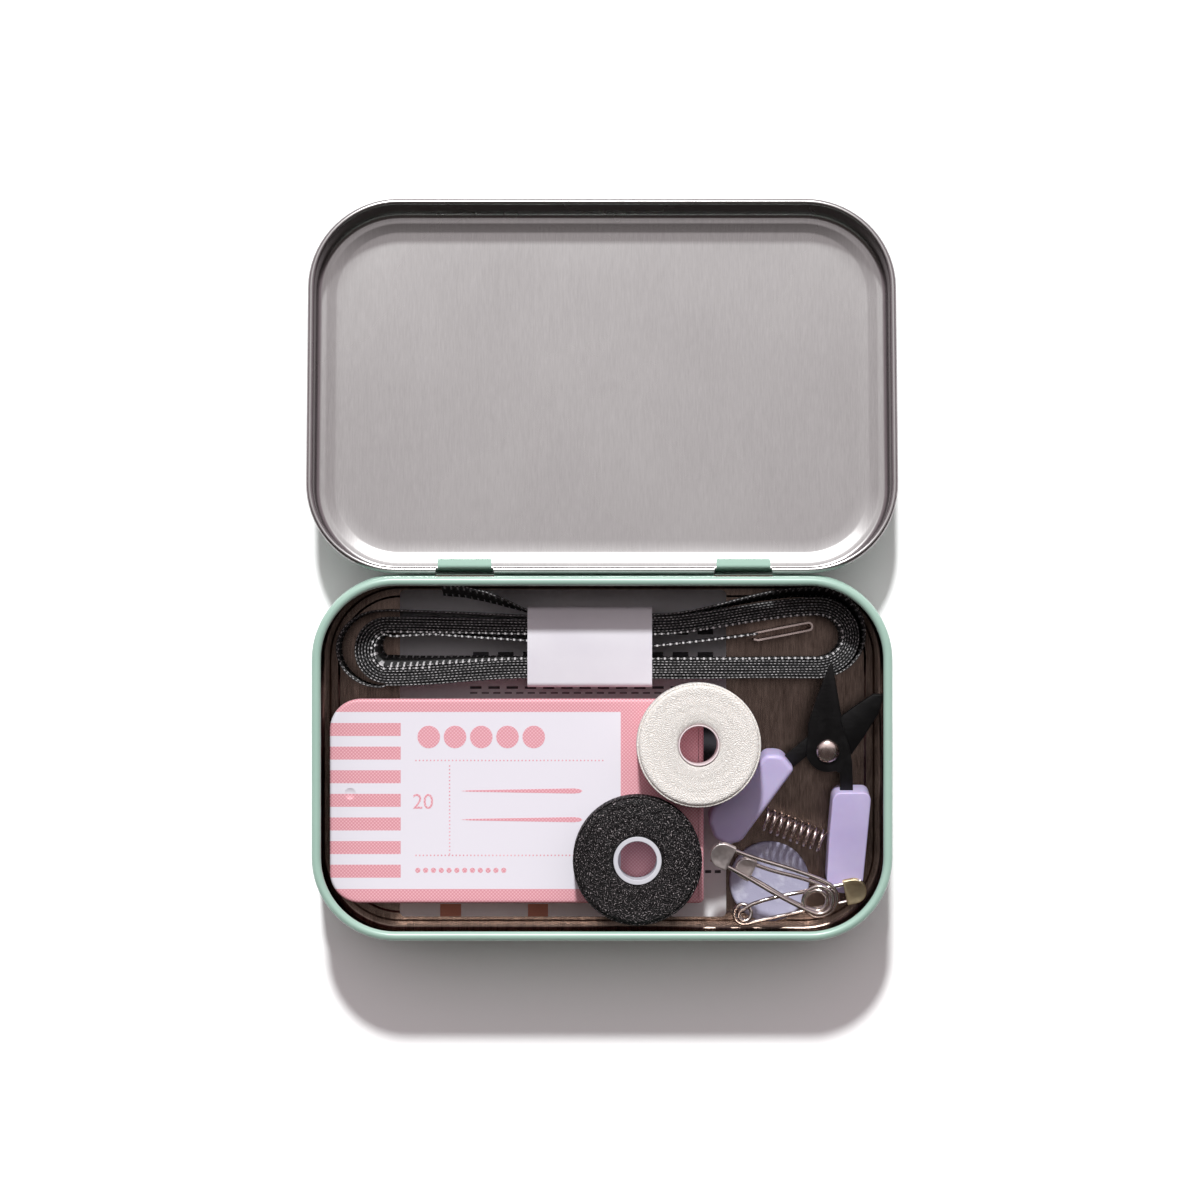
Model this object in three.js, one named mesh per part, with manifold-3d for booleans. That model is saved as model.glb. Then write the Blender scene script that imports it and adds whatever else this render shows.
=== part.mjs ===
// A hinged metal sewing tin, shown open, with its sewing things inside.
// Millimetres, +Z up. The origin is the middle of the underside of the base,
// the lid opens towards +Y and the tin's long side runs along X.

import * as THREE from "three";
import { mergeVertices } from "three/addons/utils/BufferGeometryUtils.js";
import Module from "manifold-3d";

const wasm = await Module();
wasm.setup();

const group = new THREE.Group();

// General values

const quarterTurn = Math.PI / 2;
const fullTurn = Math.PI * 2;
const degree = Math.PI / 180;
const cutOverrun = 1;
const smallestRadius = 0.05;
const seatGap = 0.05;
const layerGap = 0.1;

// Finishes

function finish(colour, roughness, metalness) {
  return new THREE.MeshStandardMaterial({ color: colour, roughness, metalness });
}

const finishes = {
  mint: () => finish("#a8cdbe", 0.45, 0.1),
  tinplate: () => finish("#b4b2b0", 0.35, 0.9),
  paper: () => finish("#e8e4ec", 0.85, 0),
  pink: () => finish("#e1969f", 0.45, 0.1),
  steel: () => finish("#c4c2c0", 0.3, 1),
  blackTape: () => finish("#1d1c1f", 0.85, 0),
  whiteCore: () => finish("#efe6e4", 0.6, 0),
  whiteThread: () => finish("#e6e1d7", 0.8, 0),
  blackThread: () => finish("#17161a", 0.8, 0),
  blackBlade: () => finish("#1b1a1c", 0.4, 0.6),
  lavender: () => finish("#b9aad7", 0.5, 0),
  chalk: () => finish("#a5a5cd", 0.85, 0),
};

// Solids from rings of points

function signedVolume(geometry) {
  const position = geometry.getAttribute("position");
  const index = geometry.getIndex();
  const corners = [new THREE.Vector3(), new THREE.Vector3(), new THREE.Vector3()];
  let total = 0;
  for (let first = 0; first < index.count; first += 3) {
    corners.forEach((corner, offset) => {
      corner.fromBufferAttribute(position, index.getX(first + offset));
    });
    total += corners[0].dot(corners[1].cross(corners[2])) / 6;
  }
  return total;
}

function turnOutward(geometry) {
  if (signedVolume(geometry) < 0) {
    const index = geometry.getIndex();
    for (let first = 0; first < index.count; first += 3) {
      const kept = index.getX(first);
      index.setX(first, index.getX(first + 1));
      index.setX(first + 1, kept);
    }
  }
  geometry.computeVertexNormals();
  return geometry;
}

// Joins rings of equal point counts by a skin and closes the two end rings.
function skinRings(rings) {
  const size = rings[0].length;
  const values = rings.flatMap((ring) => ring.flatMap((point) => point.toArray()));
  const faces = [];
  for (let level = 0; level + 1 < rings.length; level += 1) {
    for (let place = 0; place < size; place += 1) {
      const next = (place + 1) % size;
      const low = level * size;
      const high = low + size;
      faces.push(low + place, low + next, high + next);
      faces.push(low + place, high + next, high + place);
    }
  }
  const last = (rings.length - 1) * size;
  for (let place = 1; place + 1 < size; place += 1) {
    faces.push(0, place + 1, place);
    faces.push(last, last + place, last + place + 1);
  }
  const geometry = new THREE.BufferGeometry();
  geometry.setAttribute("position", new THREE.Float32BufferAttribute(values, 3));
  geometry.setIndex(faces);
  return turnOutward(geometry);
}

// Booleans

function toManifold(geometry) {
  const bare = geometry.clone();
  bare.deleteAttribute("normal");
  bare.deleteAttribute("uv");
  const merged = mergeVertices(bare, 1e-4);
  const mesh = new wasm.Mesh({
    numProp: 3,
    vertProperties: Float32Array.from(merged.getAttribute("position").array),
    triVerts: Uint32Array.from(merged.getIndex().array),
  });
  return new wasm.Manifold(mesh);
}

function fromManifold(manifold) {
  const mesh = manifold.getMesh();
  const geometry = new THREE.BufferGeometry();
  const values = [];
  for (let vertex = 0; vertex < mesh.numVert; vertex += 1) {
    const start = vertex * mesh.numProp;
    values.push(...mesh.vertProperties.slice(start, start + 3));
  }
  geometry.setAttribute("position", new THREE.Float32BufferAttribute(values, 3));
  geometry.setIndex(Array.from(mesh.triVerts));
  geometry.computeVertexNormals();
  return geometry;
}

function cutAway(body, cutters) {
  let result = toManifold(body);
  cutters.forEach((cutter) => {
    result = result.subtract(toManifold(cutter));
  });
  return fromManifold(result);
}

function joinAll(bodies) {
  let result = toManifold(bodies[0]);
  bodies.slice(1).forEach((body) => {
    result = result.add(toManifold(body));
  });
  return fromManifold(result);
}

function boxBetween(low, high) {
  const size = high.clone().sub(low);
  const middle = high.clone().add(low).multiplyScalar(0.5);
  const geometry = new THREE.BoxGeometry(size.x, size.y, size.z);
  geometry.translate(middle.x, middle.y, middle.z);
  return geometry;
}

function addPiece(name, geometry, material) {
  const bare = geometry.clone();
  bare.deleteAttribute("normal");
  bare.deleteAttribute("uv");
  const merged = mergeVertices(bare, 1e-4);
  merged.computeVertexNormals();
  const mesh = new THREE.Mesh(merged, material);
  mesh.name = name;
  group.add(mesh);
  return mesh;
}

// Pressed sheet metal: a profile of [outward, height] led round an outline

function outlinePoints(shape, outward = 0) {
  const { cornerSteps } = shape;
  const signs = [[1, 1], [-1, 1], [-1, -1], [1, -1]];
  return signs.flatMap(([signX, signY], corner) => {
    const radius = Math.max(shape.radii[corner] + outward, smallestRadius);
    const centreX = shape.centreX + signX * (shape.halfX + outward - radius);
    const centreY = shape.centreY + signY * (shape.halfY + outward - radius);
    const points = [];
    for (let step = 0; step <= cornerSteps; step += 1) {
      const angle = (corner + step / cornerSteps) * quarterTurn;
      points.push([centreX + radius * Math.cos(angle), centreY + radius * Math.sin(angle)]);
    }
    return points;
  });
}

function ringAt(shape, outward, height) {
  return outlinePoints(shape, outward).map(([x, y]) => new THREE.Vector3(x, y, height));
}

function leadRound(shape, profile) {
  return skinRings(profile.map(([outward, height]) => ringAt(shape, outward, height)));
}

function arcPoints(centre, radius, fromDegrees, toDegrees, steps) {
  const points = [];
  for (let step = 0; step <= steps; step += 1) {
    const angle = (fromDegrees + (toDegrees - fromDegrees) * step / steps) * degree;
    points.push([centre[0] + radius * Math.cos(angle), centre[1] + radius * Math.sin(angle)]);
  }
  return points;
}

// Gives a line through the middle of a sheet its thickness, as a closed outline.
function thicken(path, thickness) {
  const points = path.map(([across, up]) => new THREE.Vector2(across, up));
  const left = [];
  const right = [];
  points.forEach((point, place) => {
    const before = points[Math.max(place - 1, 0)];
    const after = points[Math.min(place + 1, points.length - 1)];
    const into = point.clone().sub(before);
    const outOf = after.clone().sub(point);
    const start = (place === 0 ? outOf : into).clone().normalize();
    const end = (place === points.length - 1 ? into : outOf).clone().normalize();
    const along = start.clone().add(end).normalize();
    const half = thickness / 2 / Math.max(along.dot(end), 0.5);
    left.push([point.x - along.y * half, point.y + along.x * half]);
    right.push([point.x + along.y * half, point.y - along.x * half]);
  });
  return [...left, ...right.reverse()];
}

// The tin's base

const sheet = 0.28;
const halfSheet = sheet / 2;

const base = {
  halfX: 47.05,
  halfY: 29.5,
  cornerRadius: 13.5,
  height: 20,
  bodyProud: 0.4,
  shoulderHeight: 13.3,
  neckStart: 14.1,
  curlRadius: 0.75,
  curlEndDegrees: 250,
  footRadius: 1.2,
};

const floorBead = { inner: -2.95, outer: -1.95, rise: 0.25, flank: 0.35 };
const floorTop = sheet;

const hinge = {
  leftLugX: -22.45,
  rightLugX: 23.07,
  slotClearance: 0.4,
  slotBelowAxis: 0.8,
  slotAboveAxis: 2.1,
  notchClearance: 0.3,
  lugWidth: 8.8,
  lugReach: 0.7,
  restGap: 0.117,
};
const lugCentresX = [hinge.leftLugX, hinge.rightLugX];

// The lid's clearances round the base, and the hinge axis in the middle of its rear bead.
const lid = {
  sideClearance: 0.35,
  frontClearance: 0.75,
  rearClearance: 0.55,
  shoulderClearance: 0.35,
  overRim: 1,
  beadRadius: 0.55,
  stepRise: 0.42,
  topCornerRadius: 1.1,
  stepOuter: -1.5,
  stepInner: -3.1,
  panelStart: -5.4,
};
const lidHalfX = base.halfX + lid.sideClearance;
const lidHalfY = base.halfY + (lid.frontClearance + lid.rearClearance) / 2;
const lidCentreY = (lid.rearClearance - lid.frontClearance) / 2;
const lidCornerRadius = base.cornerRadius + lid.sideClearance;
const beadBottom = base.shoulderHeight + lid.shoulderClearance;
const lidTop = base.height + lid.overRim;
const hingeY = base.halfY + lid.rearClearance + lid.beadRadius;
const hingeZ = beadBottom + lid.beadRadius;

// The lid opens until the step round its top comes down on the table.
const stepReach = hingeY - lidCentreY + lidHalfY + lid.stepInner;
const lidDrop = lidTop - hingeZ;
const openDegrees = 180 + THREE.MathUtils.radToDeg(
  Math.asin((hingeZ - hinge.restGap) / Math.hypot(stepReach, lidDrop))
    - Math.atan2(lidDrop, stepReach),
);

function rectangleShape(halfX, halfY, radius, centreY = 0) {
  const radii = [radius, radius, radius, radius];
  return { halfX, halfY, centreX: 0, centreY, radii, cornerSteps: 7 };
}

function baseMiddleLine() {
  const bodyLine = base.bodyProud - halfSheet;
  const footCentre = [bodyLine - base.footRadius, halfSheet + base.footRadius];
  const curlLine = base.curlRadius - halfSheet;
  const curlCentre = [-base.curlRadius, base.height - base.curlRadius];
  return [
    [floorBead.inner - floorBead.flank, halfSheet],
    [floorBead.inner, halfSheet + floorBead.rise],
    [floorBead.outer, halfSheet + floorBead.rise],
    [floorBead.outer + floorBead.flank, halfSheet],
    ...arcPoints(footCentre, base.footRadius, -90, 0, 3),
    [bodyLine, base.shoulderHeight],
    [-halfSheet, base.neckStart],
    ...arcPoints(curlCentre, curlLine, 0, base.curlEndDegrees, 8),
  ];
}

function hingeSlot(centreX) {
  const halfWidth = hinge.lugWidth / 2 + hinge.slotClearance;
  const low = new THREE.Vector3(
    centreX - halfWidth, base.halfY - sheet - cutOverrun, hingeZ - hinge.slotBelowAxis,
  );
  const high = new THREE.Vector3(
    centreX + halfWidth, base.halfY + cutOverrun, hingeZ + hinge.slotAboveAxis,
  );
  return boxBetween(low, high);
}

function makeBase() {
  const shape = rectangleShape(base.halfX, base.halfY, base.cornerRadius);
  const pan = leadRound(shape, thicken(baseMiddleLine(), sheet));
  addPiece("tin_base", cutAway(pan, lugCentresX.map(hingeSlot)), finishes.mint());
}

// The lid, drawn shut and then turned open about the hinge

const lidFrame = new THREE.Matrix4()
  .makeTranslation(0, hingeY, hingeZ)
  .multiply(new THREE.Matrix4().makeRotationX(-openDegrees * degree))
  .multiply(new THREE.Matrix4().makeTranslation(0, -hingeY, -hingeZ));

function lidMiddleLine() {
  const panelLine = lidTop - halfSheet;
  const borderLine = panelLine - lid.stepRise;
  const cornerCentre = [halfSheet - lid.topCornerRadius, borderLine - lid.topCornerRadius];
  const beadCentre = [lid.beadRadius, hingeZ];
  return [
    [lid.panelStart, panelLine],
    [lid.stepInner, panelLine],
    [lid.stepOuter, borderLine],
    ...arcPoints(cornerCentre, lid.topCornerRadius, 90, 0, 4),
    ...arcPoints(beadCentre, lid.beadRadius - halfSheet, 180, 410, 8),
  ];
}

function beadNotch(centreX) {
  const halfWidth = hinge.lugWidth / 2 + hinge.notchClearance;
  const low = new THREE.Vector3(
    centreX - halfWidth, hingeY - lid.beadRadius - cutOverrun, beadBottom - cutOverrun,
  );
  const high = new THREE.Vector3(
    centreX + halfWidth, hingeY + lid.beadRadius + cutOverrun,
    hingeZ + lid.beadRadius + seatGap,
  );
  return boxBetween(low, high);
}

// A tongue of the lid's own sheet that runs down and hooks through the slot.
function hingeLug(centreX) {
  const skirtLine = base.halfY + lid.rearClearance + halfSheet;
  const bend = lid.beadRadius - halfSheet;
  const bottomLine = beadBottom + halfSheet;
  const bendCentre = [skirtLine - bend, bottomLine + bend];
  const line = [
    [skirtLine, hingeZ + lid.beadRadius + cutOverrun],
    ...arcPoints(bendCentre, bend, 0, -90, 4),
    [base.halfY - hinge.lugReach + halfSheet, bottomLine],
  ];
  const outline = thicken(line, sheet);
  const sides = [-1, 1].map((side) => outline.map(([y, z]) => new THREE.Vector3(
    centreX + side * hinge.lugWidth / 2, y, z,
  )));
  return prismBetween(sides[0], sides[1]);
}

// Joins two like outlines, which need not be convex, into a closed prism.
function prismBetween(first, second) {
  const size = first.length;
  const normal = second[0].clone().sub(first[0]).normalize();
  const helper = Math.abs(normal.x) > Math.abs(normal.y)
    ? new THREE.Vector3(0, 1, 0) : new THREE.Vector3(1, 0, 0);
  const upward = normal.clone().cross(helper).normalize();
  const across = upward.clone().cross(normal).normalize();
  const flat = first.map((point) => new THREE.Vector2(point.dot(across), point.dot(upward)));
  const turn = Math.sign(THREE.ShapeUtils.area(flat));
  const faces = [];
  THREE.ShapeUtils.triangulateShape(flat, []).forEach(([a, b, c]) => {
    const alike = Math.sign(THREE.ShapeUtils.area([flat[a], flat[b], flat[c]])) === turn;
    const [near, far] = alike ? [b, c] : [c, b];
    faces.push(a, far, near, size + a, size + near, size + far);
  });
  for (let place = 0; place < size; place += 1) {
    const next = (place + 1) % size;
    faces.push(place, next, size + next, place, size + next, size + place);
  }
  const geometry = new THREE.BufferGeometry();
  const values = [...first, ...second].flatMap((point) => point.toArray());
  geometry.setAttribute("position", new THREE.Float32BufferAttribute(values, 3));
  geometry.setIndex(faces);
  return turnOutward(geometry);
}

function makeLid() {
  const shape = rectangleShape(lidHalfX, lidHalfY, lidCornerRadius, lidCentreY);
  const pan = leadRound(shape, thicken(lidMiddleLine(), sheet));
  const notched = cutAway(pan, lugCentresX.map(beadNotch));
  const whole = joinAll([notched, ...lugCentresX.map(hingeLug)]);
  whole.applyMatrix4(lidFrame);
  addPiece("tin_lid", whole, finishes.tinplate());
}

// The instruction card under everything

const card = {
  leftInset: 13.35, rightInset: 26.35, frontInset: 2.4, backInset: 2.1, thickness: 0.25,
};
const cardBottom = floorTop + floorBead.rise + seatGap;
const cardTop = cardBottom + card.thickness;

function makeCard() {
  const low = new THREE.Vector3(
    card.leftInset - base.halfX, card.frontInset - base.halfY, cardBottom,
  );
  const high = new THREE.Vector3(
    base.halfX - card.rightInset, base.halfY - card.backInset, cardTop,
  );
  addPiece("instruction_card", boxBetween(low, high), finishes.paper());
}

// The pink needle tin with its slide lid, and the needles in it

const needleTin = {
  leftInset: 2.41,
  rightInset: 30.26,
  frontInset: 5.5,
  backInset: 20.01,
  height: 11.1,
  roundedRadius: 5,
  squareRadius: 0.8,
  sheet: 0.3,
  flange: 0.7,
  lidSkirt: 2.2,
  lidGap: 0.15,
};
const needleTinLeft = needleTin.leftInset - base.halfX;
const needleTinRight = base.halfX - needleTin.rightInset;
const needleTinFront = needleTin.frontInset - base.halfY;
const needleTinBack = base.halfY - needleTin.backInset;
const needleTinBottom = cardTop + seatGap;
const needleTinTop = needleTinBottom + needleTin.height;

function needleTinShape() {
  return {
    halfX: (needleTinRight - needleTinLeft) / 2,
    halfY: (needleTinBack - needleTinFront) / 2,
    centreX: (needleTinRight + needleTinLeft) / 2,
    centreY: (needleTinBack + needleTinFront) / 2,
    radii: [
      needleTin.squareRadius, needleTin.roundedRadius,
      needleTin.roundedRadius, needleTin.squareRadius,
    ],
    cornerSteps: 4,
  };
}

function makeNeedleTray() {
  const half = needleTin.sheet / 2;
  const flangeOut = -needleTin.sheet - needleTin.lidGap - half;
  const wallLine = flangeOut - needleTin.flange;
  const flangeLine = needleTinTop - needleTin.sheet - needleTin.lidGap - half;
  const bottomLine = needleTinBottom + half;
  const line = [
    [wallLine - needleTin.sheet * 2, bottomLine],
    [wallLine - half, bottomLine],
    [wallLine, bottomLine + half],
    [wallLine, flangeLine],
    [flangeOut, flangeLine],
  ];
  const geometry = leadRound(needleTinShape(), thicken(line, needleTin.sheet));
  addPiece("needle_tin_tray", geometry, finishes.pink());
}

function makeNeedleLid() {
  const half = needleTin.sheet / 2;
  const topLine = needleTinTop - half;
  const edgeRadius = 0.5;
  const line = [
    [-half - edgeRadius * 3, topLine],
    ...arcPoints([-half - edgeRadius, topLine - edgeRadius], edgeRadius, 90, 0, 3),
    [-half, needleTinTop - needleTin.lidSkirt],
  ];
  const geometry = leadRound(needleTinShape(), thicken(line, needleTin.sheet));
  const openEnd = boxBetween(
    new THREE.Vector3(
      needleTinRight - needleTin.squareRadius - seatGap,
      needleTinFront - cutOverrun,
      needleTinTop - needleTin.lidSkirt - cutOverrun,
    ),
    new THREE.Vector3(
      needleTinRight + cutOverrun,
      needleTinBack + cutOverrun,
      needleTinTop - needleTin.sheet,
    ),
  );
  addPiece("needle_tin_lid", cutAway(geometry, [openEnd]), finishes.pink());
}

const needle = {
  count: 20, length: 39, radius: 0.4, pointLength: 5, sideMargin: 2.5, eyeWidth: 0.3, eyeLength: 2.2,
};

function makeNeedles() {
  const sides = 6;
  const profile = [
    [needle.radius / 2, 0], [needle.radius, needle.radius],
    [needle.radius, needle.length - needle.pointLength],
    [needle.radius / 5, needle.length],
  ];
  const rings = profile.map(([radius, along]) => {
    const ring = [];
    for (let side = 0; side < sides; side += 1) {
      const angle = (side + 0.5) / sides * fullTurn;
      ring.push(new THREE.Vector3(along, radius * Math.cos(angle), radius * Math.sin(angle)));
    }
    return ring;
  });
  const eye = boxBetween(
    new THREE.Vector3(needle.eyeLength / 2, -cutOverrun, -needle.eyeWidth / 2),
    new THREE.Vector3(needle.eyeLength * 1.5, cutOverrun, needle.eyeWidth / 2),
  );
  const pattern = cutAway(skinRings(rings), [eye]);
  const middleX = (needleTinLeft + needleTinRight) / 2;
  const middleY = (needleTinFront + needleTinBack) / 2;
  const restHeight = needleTinBottom + needleTin.sheet + seatGap + needle.radius;
  const trayDepth = needleTinBack - needleTinFront;
  const pitch = (trayDepth - needle.sideMargin * 2) / (needle.count - 1);
  for (let place = 0; place < needle.count; place += 1) {
    const copy = pattern.clone();
    const offset = (place - (needle.count - 1) / 2) * pitch;
    copy.translate(middleX - needle.length / 2, middleY + offset, restHeight);
    const number = String(place + 1).padStart(2, "0");
    addPiece(`needle_${number}`, copy, finishes.steel());
  }
}

// A constant section led along a line of points

function sectionCircle(radius, sides) {
  const points = [];
  for (let side = 0; side < sides; side += 1) {
    const angle = side / sides * fullTurn;
    points.push([radius * Math.cos(angle), radius * Math.sin(angle)]);
  }
  return points;
}

function sectionBox(width, height) {
  return [
    [-width / 2, -height / 2], [width / 2, -height / 2],
    [width / 2, height / 2], [-width / 2, height / 2],
  ];
}

// `upAt` gives the section's up direction at each point of the line.
function leadAlong(points, section, upAt) {
  const rings = points.map((point, place) => {
    const before = points[Math.max(place - 1, 0)];
    const after = points[Math.min(place + 1, points.length - 1)];
    const along = after.clone().sub(before).normalize();
    const hint = upAt(place);
    const side = along.clone().cross(hint).normalize();
    const up = side.clone().cross(along).normalize();
    return section.map(([across, above]) => point.clone()
      .addScaledVector(side, across).addScaledVector(up, above));
  });
  return skinRings(rings);
}

// Least distance between points that are more than half a loop apart.
function leastGap(points, stepsPerLoop, thickness) {
  let least = Infinity;
  const skip = Math.floor(stepsPerLoop / 2);
  for (let first = 0; first < points.length; first += 1) {
    for (let second = first + skip; second + 1 < points.length; second += 1) {
      const edge = new THREE.Line3(points[second], points[second + 1]);
      const nearest = edge.closestPointToPoint(points[first], true, new THREE.Vector3());
      least = Math.min(least, nearest.distanceTo(points[first]));
    }
  }
  return least - thickness;
}

// The wound measuring tape, its paper band and its end clip

const tape = {
  loops: 6, stepsPerLoop: 24, thickness: 0.22, width: 10, pitch: 0.68,
};
const band = {
  centreX: -2.02, width: 20.44, frontInset: 18.08, backInset: 4.9, thickness: 0.25,
};
const bandLeft = band.centreX - band.width / 2;
const bandRight = bandLeft + band.width;
const bandFront = base.halfY - band.frontInset;
const bandBack = base.halfY - band.backInset;
const bandBottom = cardTop + seatGap;
const tapeBottom = bandBottom + band.thickness + seatGap;
const bandTop = tapeBottom + tape.width + seatGap + band.thickness;

const tapeLeftEnd = { insetX: 11.65, insetY: 12.15, half: 6.05 };
const tapeRightEnd = { insetX: 11.55, insetY: 10, half: 7.3 };

// Ends and waist of the outermost loop: centre X and Y and half height in Y.
const tapeEnds = {
  left: {
    x: tapeLeftEnd.insetX - base.halfX,
    y: base.halfY - tapeLeftEnd.insetY,
    half: tapeLeftEnd.half,
  },
  waist: {
    y: (bandFront + bandBack) / 2,
    half: (bandBack - bandFront) / 2 - band.thickness - tape.thickness / 2 - layerGap,
  },
  right: {
    x: base.halfX - tapeRightEnd.insetX,
    y: base.halfY - tapeRightEnd.insetY,
    half: tapeRightEnd.half,
  },
};

function blendAt(share, from, to) {
  const eased = share * share * (3 - 2 * share);
  return from + (to - from) * eased;
}

function tapeRunAt(x) {
  const { left, waist, right } = tapeEnds;
  const leftShare = Math.max((bandLeft - x) / (bandLeft - left.x), 0);
  const rightShare = Math.max((x - bandRight) / (right.x - bandRight), 0);
  const end = leftShare > 0 ? left : right;
  const share = leftShare + rightShare;
  return { y: blendAt(share, waist.y, end.y), half: blendAt(share, waist.half, end.half) };
}

function tapePointAt(turn) {
  const inset = turn * tape.pitch;
  const runShare = 1 / 3;
  const bendShare = 1 / 2 - runShare;
  const { left, right } = tapeEnds;
  const place = turn - Math.floor(turn);
  const height = tapeBottom + tape.width / 2;
  const onUpperRun = place < runShare;
  const onLeftBend = place < runShare + bendShare;
  const onLowerRun = place < runShare * 2 + bendShare;
  if (onUpperRun || (!onLeftBend && onLowerRun)) {
    const share = onUpperRun ? place / runShare : (place - runShare - bendShare) / runShare;
    const x = onUpperRun
      ? right.x + (left.x - right.x) * share
      : left.x + (right.x - left.x) * share;
    const run = tapeRunAt(x);
    const side = onUpperRun ? 1 : -1;
    return new THREE.Vector3(x, run.y + side * (run.half - inset), height);
  }
  const bend = onLeftBend ? left : right;
  const share = onLeftBend
    ? (place - runShare) / bendShare
    : (place - runShare * 2 - bendShare) / bendShare;
  const angle = (onLeftBend ? quarterTurn : -quarterTurn) + share * Math.PI;
  const radius = bend.half - inset;
  return new THREE.Vector3(
    bend.x + radius * Math.cos(angle), bend.y + radius * Math.sin(angle), height,
  );
}

function makeTape() {
  const points = [];
  for (let step = 0; step <= tape.loops * tape.stepsPerLoop; step += 1) {
    points.push(tapePointAt(step / tape.stepsPerLoop));
  }
  const gap = leastGap(points, tape.stepsPerLoop, tape.thickness);
  console.log(`tape_hank least gap ${gap.toFixed(3)} mm`);
  const upward = new THREE.Vector3(0, 0, 1);
  const geometry = leadAlong(points, sectionBox(tape.thickness, tape.width), () => upward);
  addPiece("tape_hank", geometry, finishes.blackTape());
}

function makeBand() {
  const outer = boxBetween(
    new THREE.Vector3(bandLeft, bandFront, bandBottom),
    new THREE.Vector3(bandRight, bandBack, bandTop),
  );
  const inner = boxBetween(
    new THREE.Vector3(
      bandLeft - cutOverrun, bandFront + band.thickness, bandBottom + band.thickness,
    ),
    new THREE.Vector3(
      bandRight + cutOverrun, bandBack - band.thickness, bandTop - band.thickness,
    ),
  );
  addPiece("paper_band", cutAway(outer, [inner]), finishes.paper());
}

const clip = {
  insetX: 13.05, insetY: 8.1, length: 9.4, slopeDegrees: 10, bend: 0.55, thickness: 0.35, height: 10.5,
};

function makeClip() {
  const bottom = floorTop + seatGap;
  const bent = arcPoints([-clip.bend, 0], clip.bend, -90, 90, 6);
  const flat = [[-clip.length, -clip.bend], ...bent, [-clip.length, clip.bend]];
  const turn = clip.slopeDegrees * degree;
  const points = flat.map(([along, across]) => new THREE.Vector3(
    base.halfX - clip.insetX + along * Math.cos(turn) - across * Math.sin(turn),
    base.halfY - clip.insetY + along * Math.sin(turn) + across * Math.cos(turn),
    bottom + clip.height / 2,
  ));
  const upward = new THREE.Vector3(0, 0, 1);
  const geometry = leadAlong(points, sectionBox(clip.thickness, clip.height), () => upward);
  addPiece("tape_clip", geometry, finishes.steel());
}

// The two thread bobbins

const bobbinHeight = 7.9;
const bobbinBottom = needleTinTop + layerGap;
const whiteBobbin = {
  insetX: 1.11, insetY: 26.16, radius: 10.1, coreOuter: 3.35, coreInner: 3.1,
};
const blackBobbin = {
  insetX: 11.06, insetY: 7.47, radius: 10.5, coreOuter: 3.9, coreInner: 3.15,
};
const bobbins = [
  {
    ...whiteBobbin,
    name: "white",
    x: needleTinRight - whiteBobbin.insetX,
    y: needleTinFront + whiteBobbin.insetY,
    thread: finishes.whiteThread,
  },
  {
    ...blackBobbin,
    name: "black",
    x: needleTinRight - blackBobbin.insetX,
    y: needleTinFront + blackBobbin.insetY,
    thread: finishes.blackThread,
  },
];
const outerTurns = { turns: 9, steps: 24, threadRadius: 0.15, pitch: 0.8 };

function turned(profile, x, y, segments) {
  const closed = [...profile, profile[0]].map(([radius, z]) => new THREE.Vector2(radius, z));
  const lathe = new THREE.LatheGeometry(closed, segments);
  lathe.rotateX(quarterTurn);
  lathe.translate(x, y, 0);
  const bare = lathe;
  bare.deleteAttribute("normal");
  bare.deleteAttribute("uv");
  return turnOutward(mergeVertices(bare, 1e-4));
}

function makeBobbin(bobbin) {
  const top = bobbinBottom + bobbinHeight;
  const segments = 32;
  const core = turned([
    [bobbin.coreInner, bobbinBottom], [bobbin.coreOuter, bobbinBottom],
    [bobbin.coreOuter, top], [bobbin.coreInner, top],
  ], bobbin.x, bobbin.y, segments);
  addPiece(`${bobbin.name}_bobbin_core`, core, finishes.whiteCore());
  const threadInner = bobbin.coreOuter + seatGap;
  const woundRadius = bobbin.radius - outerTurns.threadRadius * 2 - seatGap;
  const chamfer = 0.35;
  const wound = turned([
    [threadInner, bobbinBottom], [woundRadius - chamfer, bobbinBottom],
    [woundRadius, bobbinBottom + chamfer], [woundRadius, top - chamfer],
    [woundRadius - chamfer, top], [threadInner, top],
  ], bobbin.x, bobbin.y, segments);
  addPiece(`${bobbin.name}_bobbin_thread`, wound, bobbin.thread());
  makeOuterTurns(bobbin);
}

function makeOuterTurns(bobbin) {
  const { turns, steps, threadRadius, pitch } = outerTurns;
  const radius = (bobbin.radius - threadRadius) / Math.cos(Math.PI / steps);
  const startHeight = bobbinBottom + (bobbinHeight - turns * pitch) / 2;
  const points = [];
  for (let step = 0; step <= turns * steps; step += 1) {
    const angle = step / steps * fullTurn;
    points.push(new THREE.Vector3(
      bobbin.x + radius * Math.cos(angle), bobbin.y + radius * Math.sin(angle),
      startHeight + step / steps * pitch,
    ));
  }
  const gap = leastGap(points, steps, threadRadius * 2);
  console.log(`${bobbin.name}_bobbin_turns least gap ${gap.toFixed(3)} mm`);
  const upward = new THREE.Vector3(0, 0, 1);
  const geometry = leadAlong(points, sectionCircle(threadRadius, 4), () => upward);
  addPiece(`${bobbin.name}_bobbin_turns`, geometry, bobbin.thread());
}

// The tilted plane of the snips: u runs along X, v up the slope, w off the plane

const snips = {
  insetX: 9.96, insetY: 30.54, rivetHeight: 9.65, slopeSine: 0.19,
  bladeThickness: 0.9, bladeGap: 0.1, rivetRadius: 1.95, bossRadius: 3.6,
  gripBelow: 3.1, gripAbove: 2.6, gripBevel: 0.8, tangClearance: 0.3, tangDepth: 6,
};
const slopeAngle = Math.asin(snips.slopeSine);
const snipsFrame = new THREE.Matrix4()
  .makeTranslation(base.halfX - snips.insetX, snips.insetY - base.halfY, snips.rivetHeight)
  .multiply(new THREE.Matrix4().makeRotationX(slopeAngle));

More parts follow.
